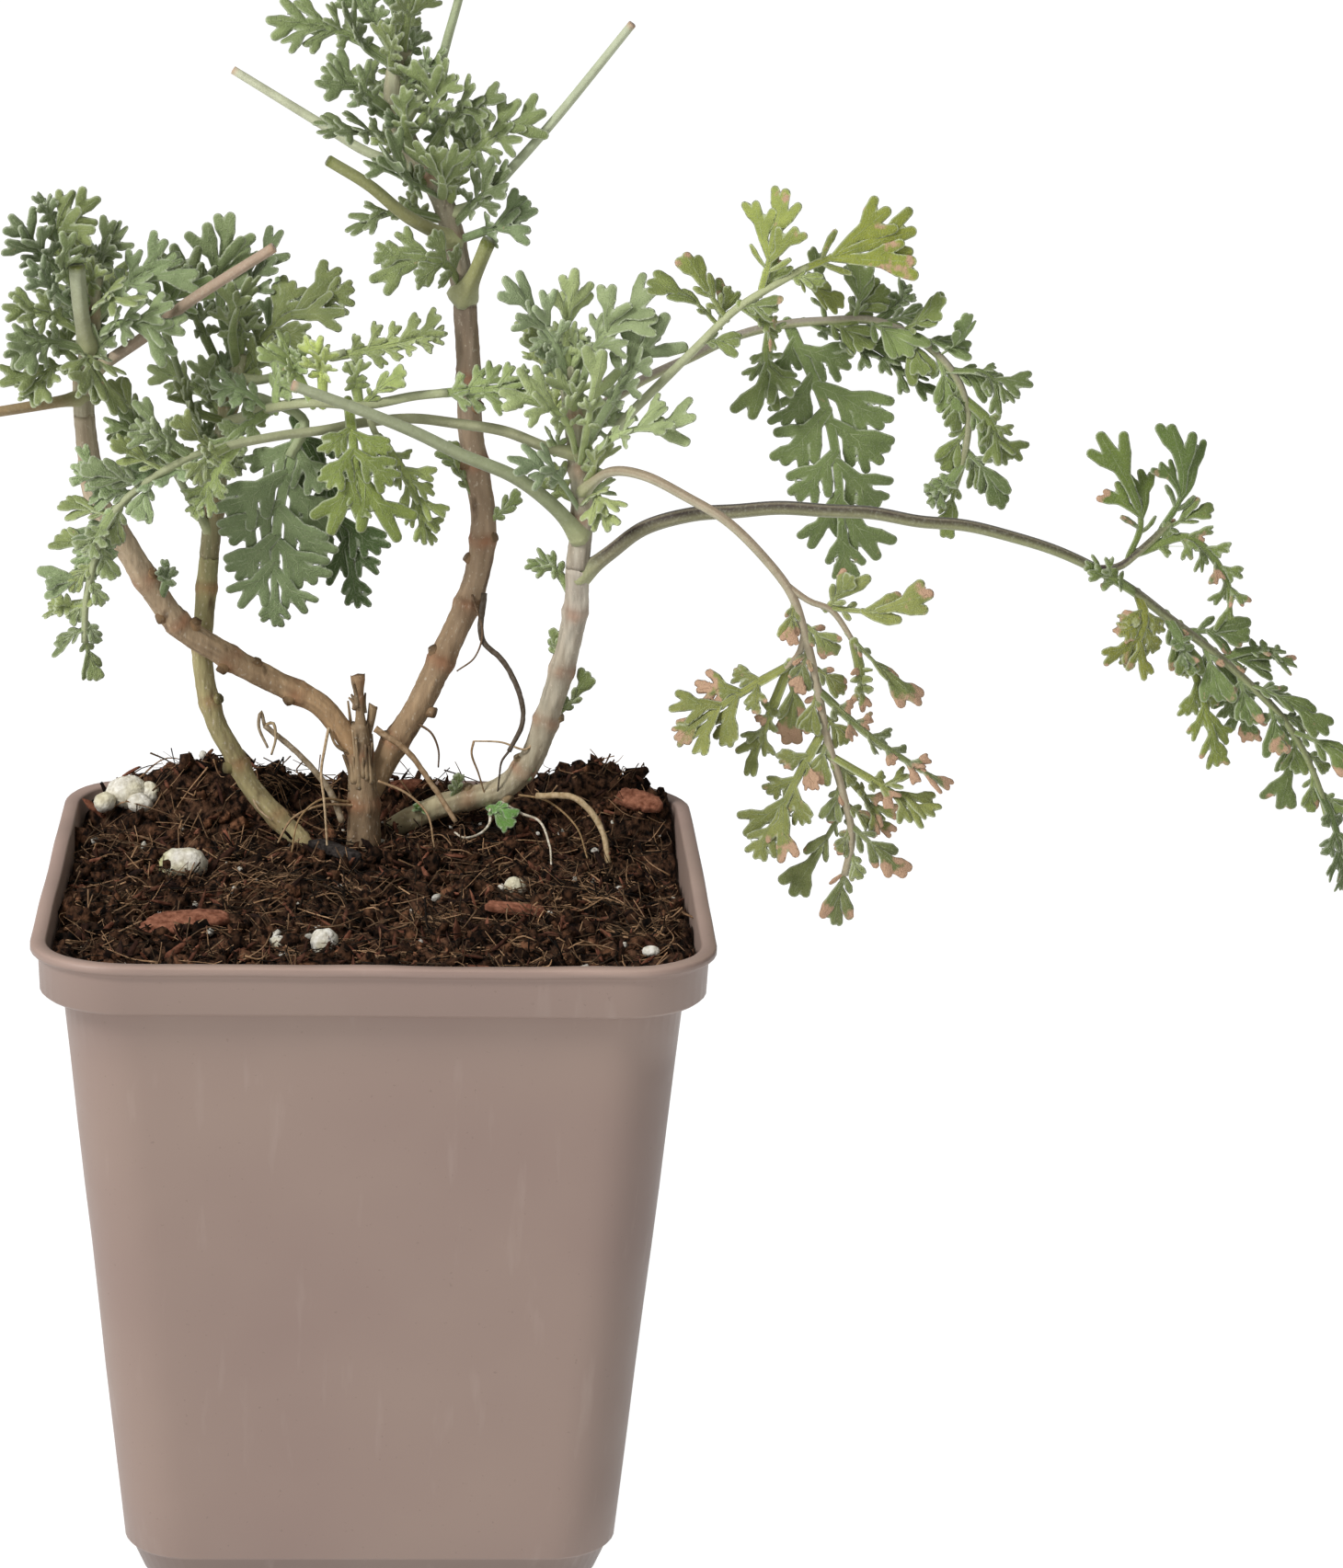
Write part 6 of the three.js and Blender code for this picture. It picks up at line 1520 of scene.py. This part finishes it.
def make_shoots():
    """The leafy top of each stem: its young wood, its leaves and its cut petioles."""
    for k, (letter, shoot) in enumerate(SHOOTS.items()):
        green = shoot["green"]
        route = shoot["stem"]["route"][-1:] + shoot["route"]
        bag = Bag()
        woody(bag, route, shoot["radii"], shoot["wood"], (0.25, 0.5, 0.75), 20 + k)
        bag.piece("shoot_" + letter + "_stem", BARK, "green_stem" if letter == "b" else "stem_bark")
        bag = Bag()
        leaf_rows(bag, shoot["leaves"], green, 100 * k + 1)
        leaf_rows(bag, shoot.get("more", ()), green, 100 * k + 60)
        tuft(bag, route, shoot["tuft"], green, 100 * k + 70)
        bag.piece("shoot_" + letter + "_leaves", LEAF, "silver_leaf", ["leafy_shoot_" + letter])
        if "cuts" in shoot:
            bag = Bag()
            for cut_route, cut_radii in shoot["cuts"]:
                petiole(bag, cut_route, cut_radii, shoot["petioles"], cut="59601f")
            bag.piece("shoot_" + letter + "_cuts", STALK, "petiole")


def make_fronds():
    """The leaves with long petioles, each with its petioles in one piece and its blades in another."""
    for k, frond in enumerate(FRONDS):
        name, green, dry = frond["name"], frond["green"], frond.get("dry", 0.0)
        bag = Bag()
        for number, (route, radii) in enumerate(frond["stalks"]):
            sheath = 0.0 if number else 0.6
            petiole(bag, route, radii, frond["petioles"], frond.get("above"), None, sheath)
        bag.piece(name + "_petiole", STALK, "petiole")
        bag = Bag()
        leaf_rows(bag, frond["leaves"], green, 500 + 40 * k, dry)
        leaf_rows(bag, frond.get("more", ()), green, 525 + 40 * k, dry)
        if "dressed" in frond:
            dress(bag, frond["stalks"][0][0], *frond["dressed"], green, 900 + 40 * k, dry)
        bag.piece(name + "_blades", LEAF, frond.get("slot", "silver_leaf"), [name])


def make_sprouts():
    """Small leaves on the bare stems, at their feet and among the fronds."""
    bag = Bag()
    for k, (green, rows) in enumerate(SPROUTS.items()):
        leaf_rows(bag, rows, green, 1500 + 40 * k)
    bag.piece("sprouts", LEAF, "silver_leaf")


def make_cut_petioles():
    """Long petioles whose blades were cut off."""
    for name, route, radii, colours in CUT_PETIOLES:
        bag = Bag()
        petiole(bag, route, radii, colours, cut=CUT_END)
        bag.piece(name + "_stalk", STALK, "petiole", [name])


def make_strands():
    """Roots and dry stalks that are solids of their own, and the finer ones in one piece."""
    for name, route, radii, colour in STRANDS:
        rings, spots = tube_rings(route, radii, 8, 0.5)[:2]
        rings = spots[:, None] + (rings - spots[:, None]) * (1 + 0.2 * rough(rings, 1.2, 4))[..., None]
        bag = Bag()
        bag.add(rings, rgb(colour))
        bag.piece(name + "_strand", ROOT, "dry_root", [name])
    bag = Bag()
    for route, radius, colour in FINE_ROOTS:
        bag.add(tube_rings(route, [radius, radius * 0.6], 6, 0.5)[0], rgb(colour))
    bag.piece("fine_roots", ROOT, "dry_root")


def make_floor():
    """A wide pale floor."""
    corners = [(x * FLOOR_HALF, y * FLOOR_HALF, 0) for x, y in ((-1, -1), (1, -1), (1, 1), (-1, 1))]
    mesh = bpy.data.meshes.new("floor")
    mesh.from_pydata(corners, [], [(0, 1, 2, 3)])
    glow = {"Emission_Color": (1, 1, 1, 1), "Emission_Strength": FLOOR_GLOW}
    s = Shader("floor_white", 0.9, Specular_IOR_Level=0.0, **glow)
    mesh.materials.append(s.finish(s.mix(s.noise(300, 1), *FLOOR_TONES)))
    sheet = bpy.data.objects.new("floor", mesh)
    bpy.context.scene.collection.objects.link(sheet)


def make_sky():
    """A white sky, brightest on one side."""
    world = bpy.data.worlds.new("studio")
    world.use_nodes = True
    tree = world.node_tree
    place = tree.nodes.new("ShaderNodeTexCoord")
    toward = tree.nodes.new("ShaderNodeVectorMath")
    toward.operation = "DOT_PRODUCT"
    toward.inputs[1].default_value = SKY_SIDE
    light = tree.nodes.new("ShaderNodeMapRange")
    light.inputs["From Min"].default_value = -1
    light.inputs["To Min"].default_value = 0
    light.inputs["To Max"].default_value = SKY_STRENGTH
    sky = tree.nodes["Background"]
    sky.inputs["Color"].default_value = (1, 1, 1, 1)
    tree.links.new(place.outputs["Generated"], toward.inputs[0])
    tree.links.new(toward.outputs["Value"], light.inputs["Value"])
    tree.links.new(light.outputs["Result"], sky.inputs["Strength"])
    bpy.context.scene.world = world


def make_lamps():
    """Two soft lamps from the left."""
    for name, (place, size, power) in LAMPS.items():
        data = bpy.data.lights.new(name, "AREA")
        data.size = size
        data.energy = power
        lamp = bpy.data.objects.new(name, data)
        lamp.location = place
        lamp.rotation_euler = (LAMP_AIM - Vector(place)).to_track_quat("-Z", "Y").to_euler()
        bpy.context.scene.collection.objects.link(lamp)


def make_camera():
    """The camera that took the photograph, fitted to the pot's corners."""
    level = Vector((math.cos(VIEW_AZIMUTH), -math.sin(VIEW_AZIMUTH), 0))
    onward = Vector((math.sin(VIEW_AZIMUTH), math.cos(VIEW_AZIMUTH), 0))
    ahead = onward * math.cos(VIEW_ELEVATION) - Vector((0, 0, math.sin(VIEW_ELEVATION)))
    upright = level.cross(ahead)
    right = level * math.cos(VIEW_ROLL) + upright * math.sin(VIEW_ROLL)
    up = upright * math.cos(VIEW_ROLL) - level * math.sin(VIEW_ROLL)
    place = (VIEW_TARGET - ahead * VIEW_DISTANCE) * MM
    data = bpy.data.cameras.new("camera")
    data.sensor_width = SENSOR
    data.lens = FOCAL_PX / IMAGE_HEIGHT * SENSOR
    data.clip_start = 0.01
    data.clip_end = 50
    camera = bpy.data.objects.new("camera", data)
    turned = Matrix((right, up, -ahead)).transposed().to_4x4()
    camera.matrix_world = Matrix.Translation(place) @ turned
    bpy.context.scene.collection.objects.link(camera)
    bpy.context.scene.camera = camera


make_pot()
make_soil()
litter = np.random.default_rng(5)
make_crumbs(litter)
make_splinters(litter)
make_fibres(litter)
make_specks(litter)
make_perlite()
make_flakes()
make_stems()
make_shoots()
make_fronds()
make_sprouts()
make_cut_petioles()
make_strands()
make_floor()
make_sky()
make_lamps()
make_camera()
bpy.context.scene.view_settings.view_transform = "Standard"
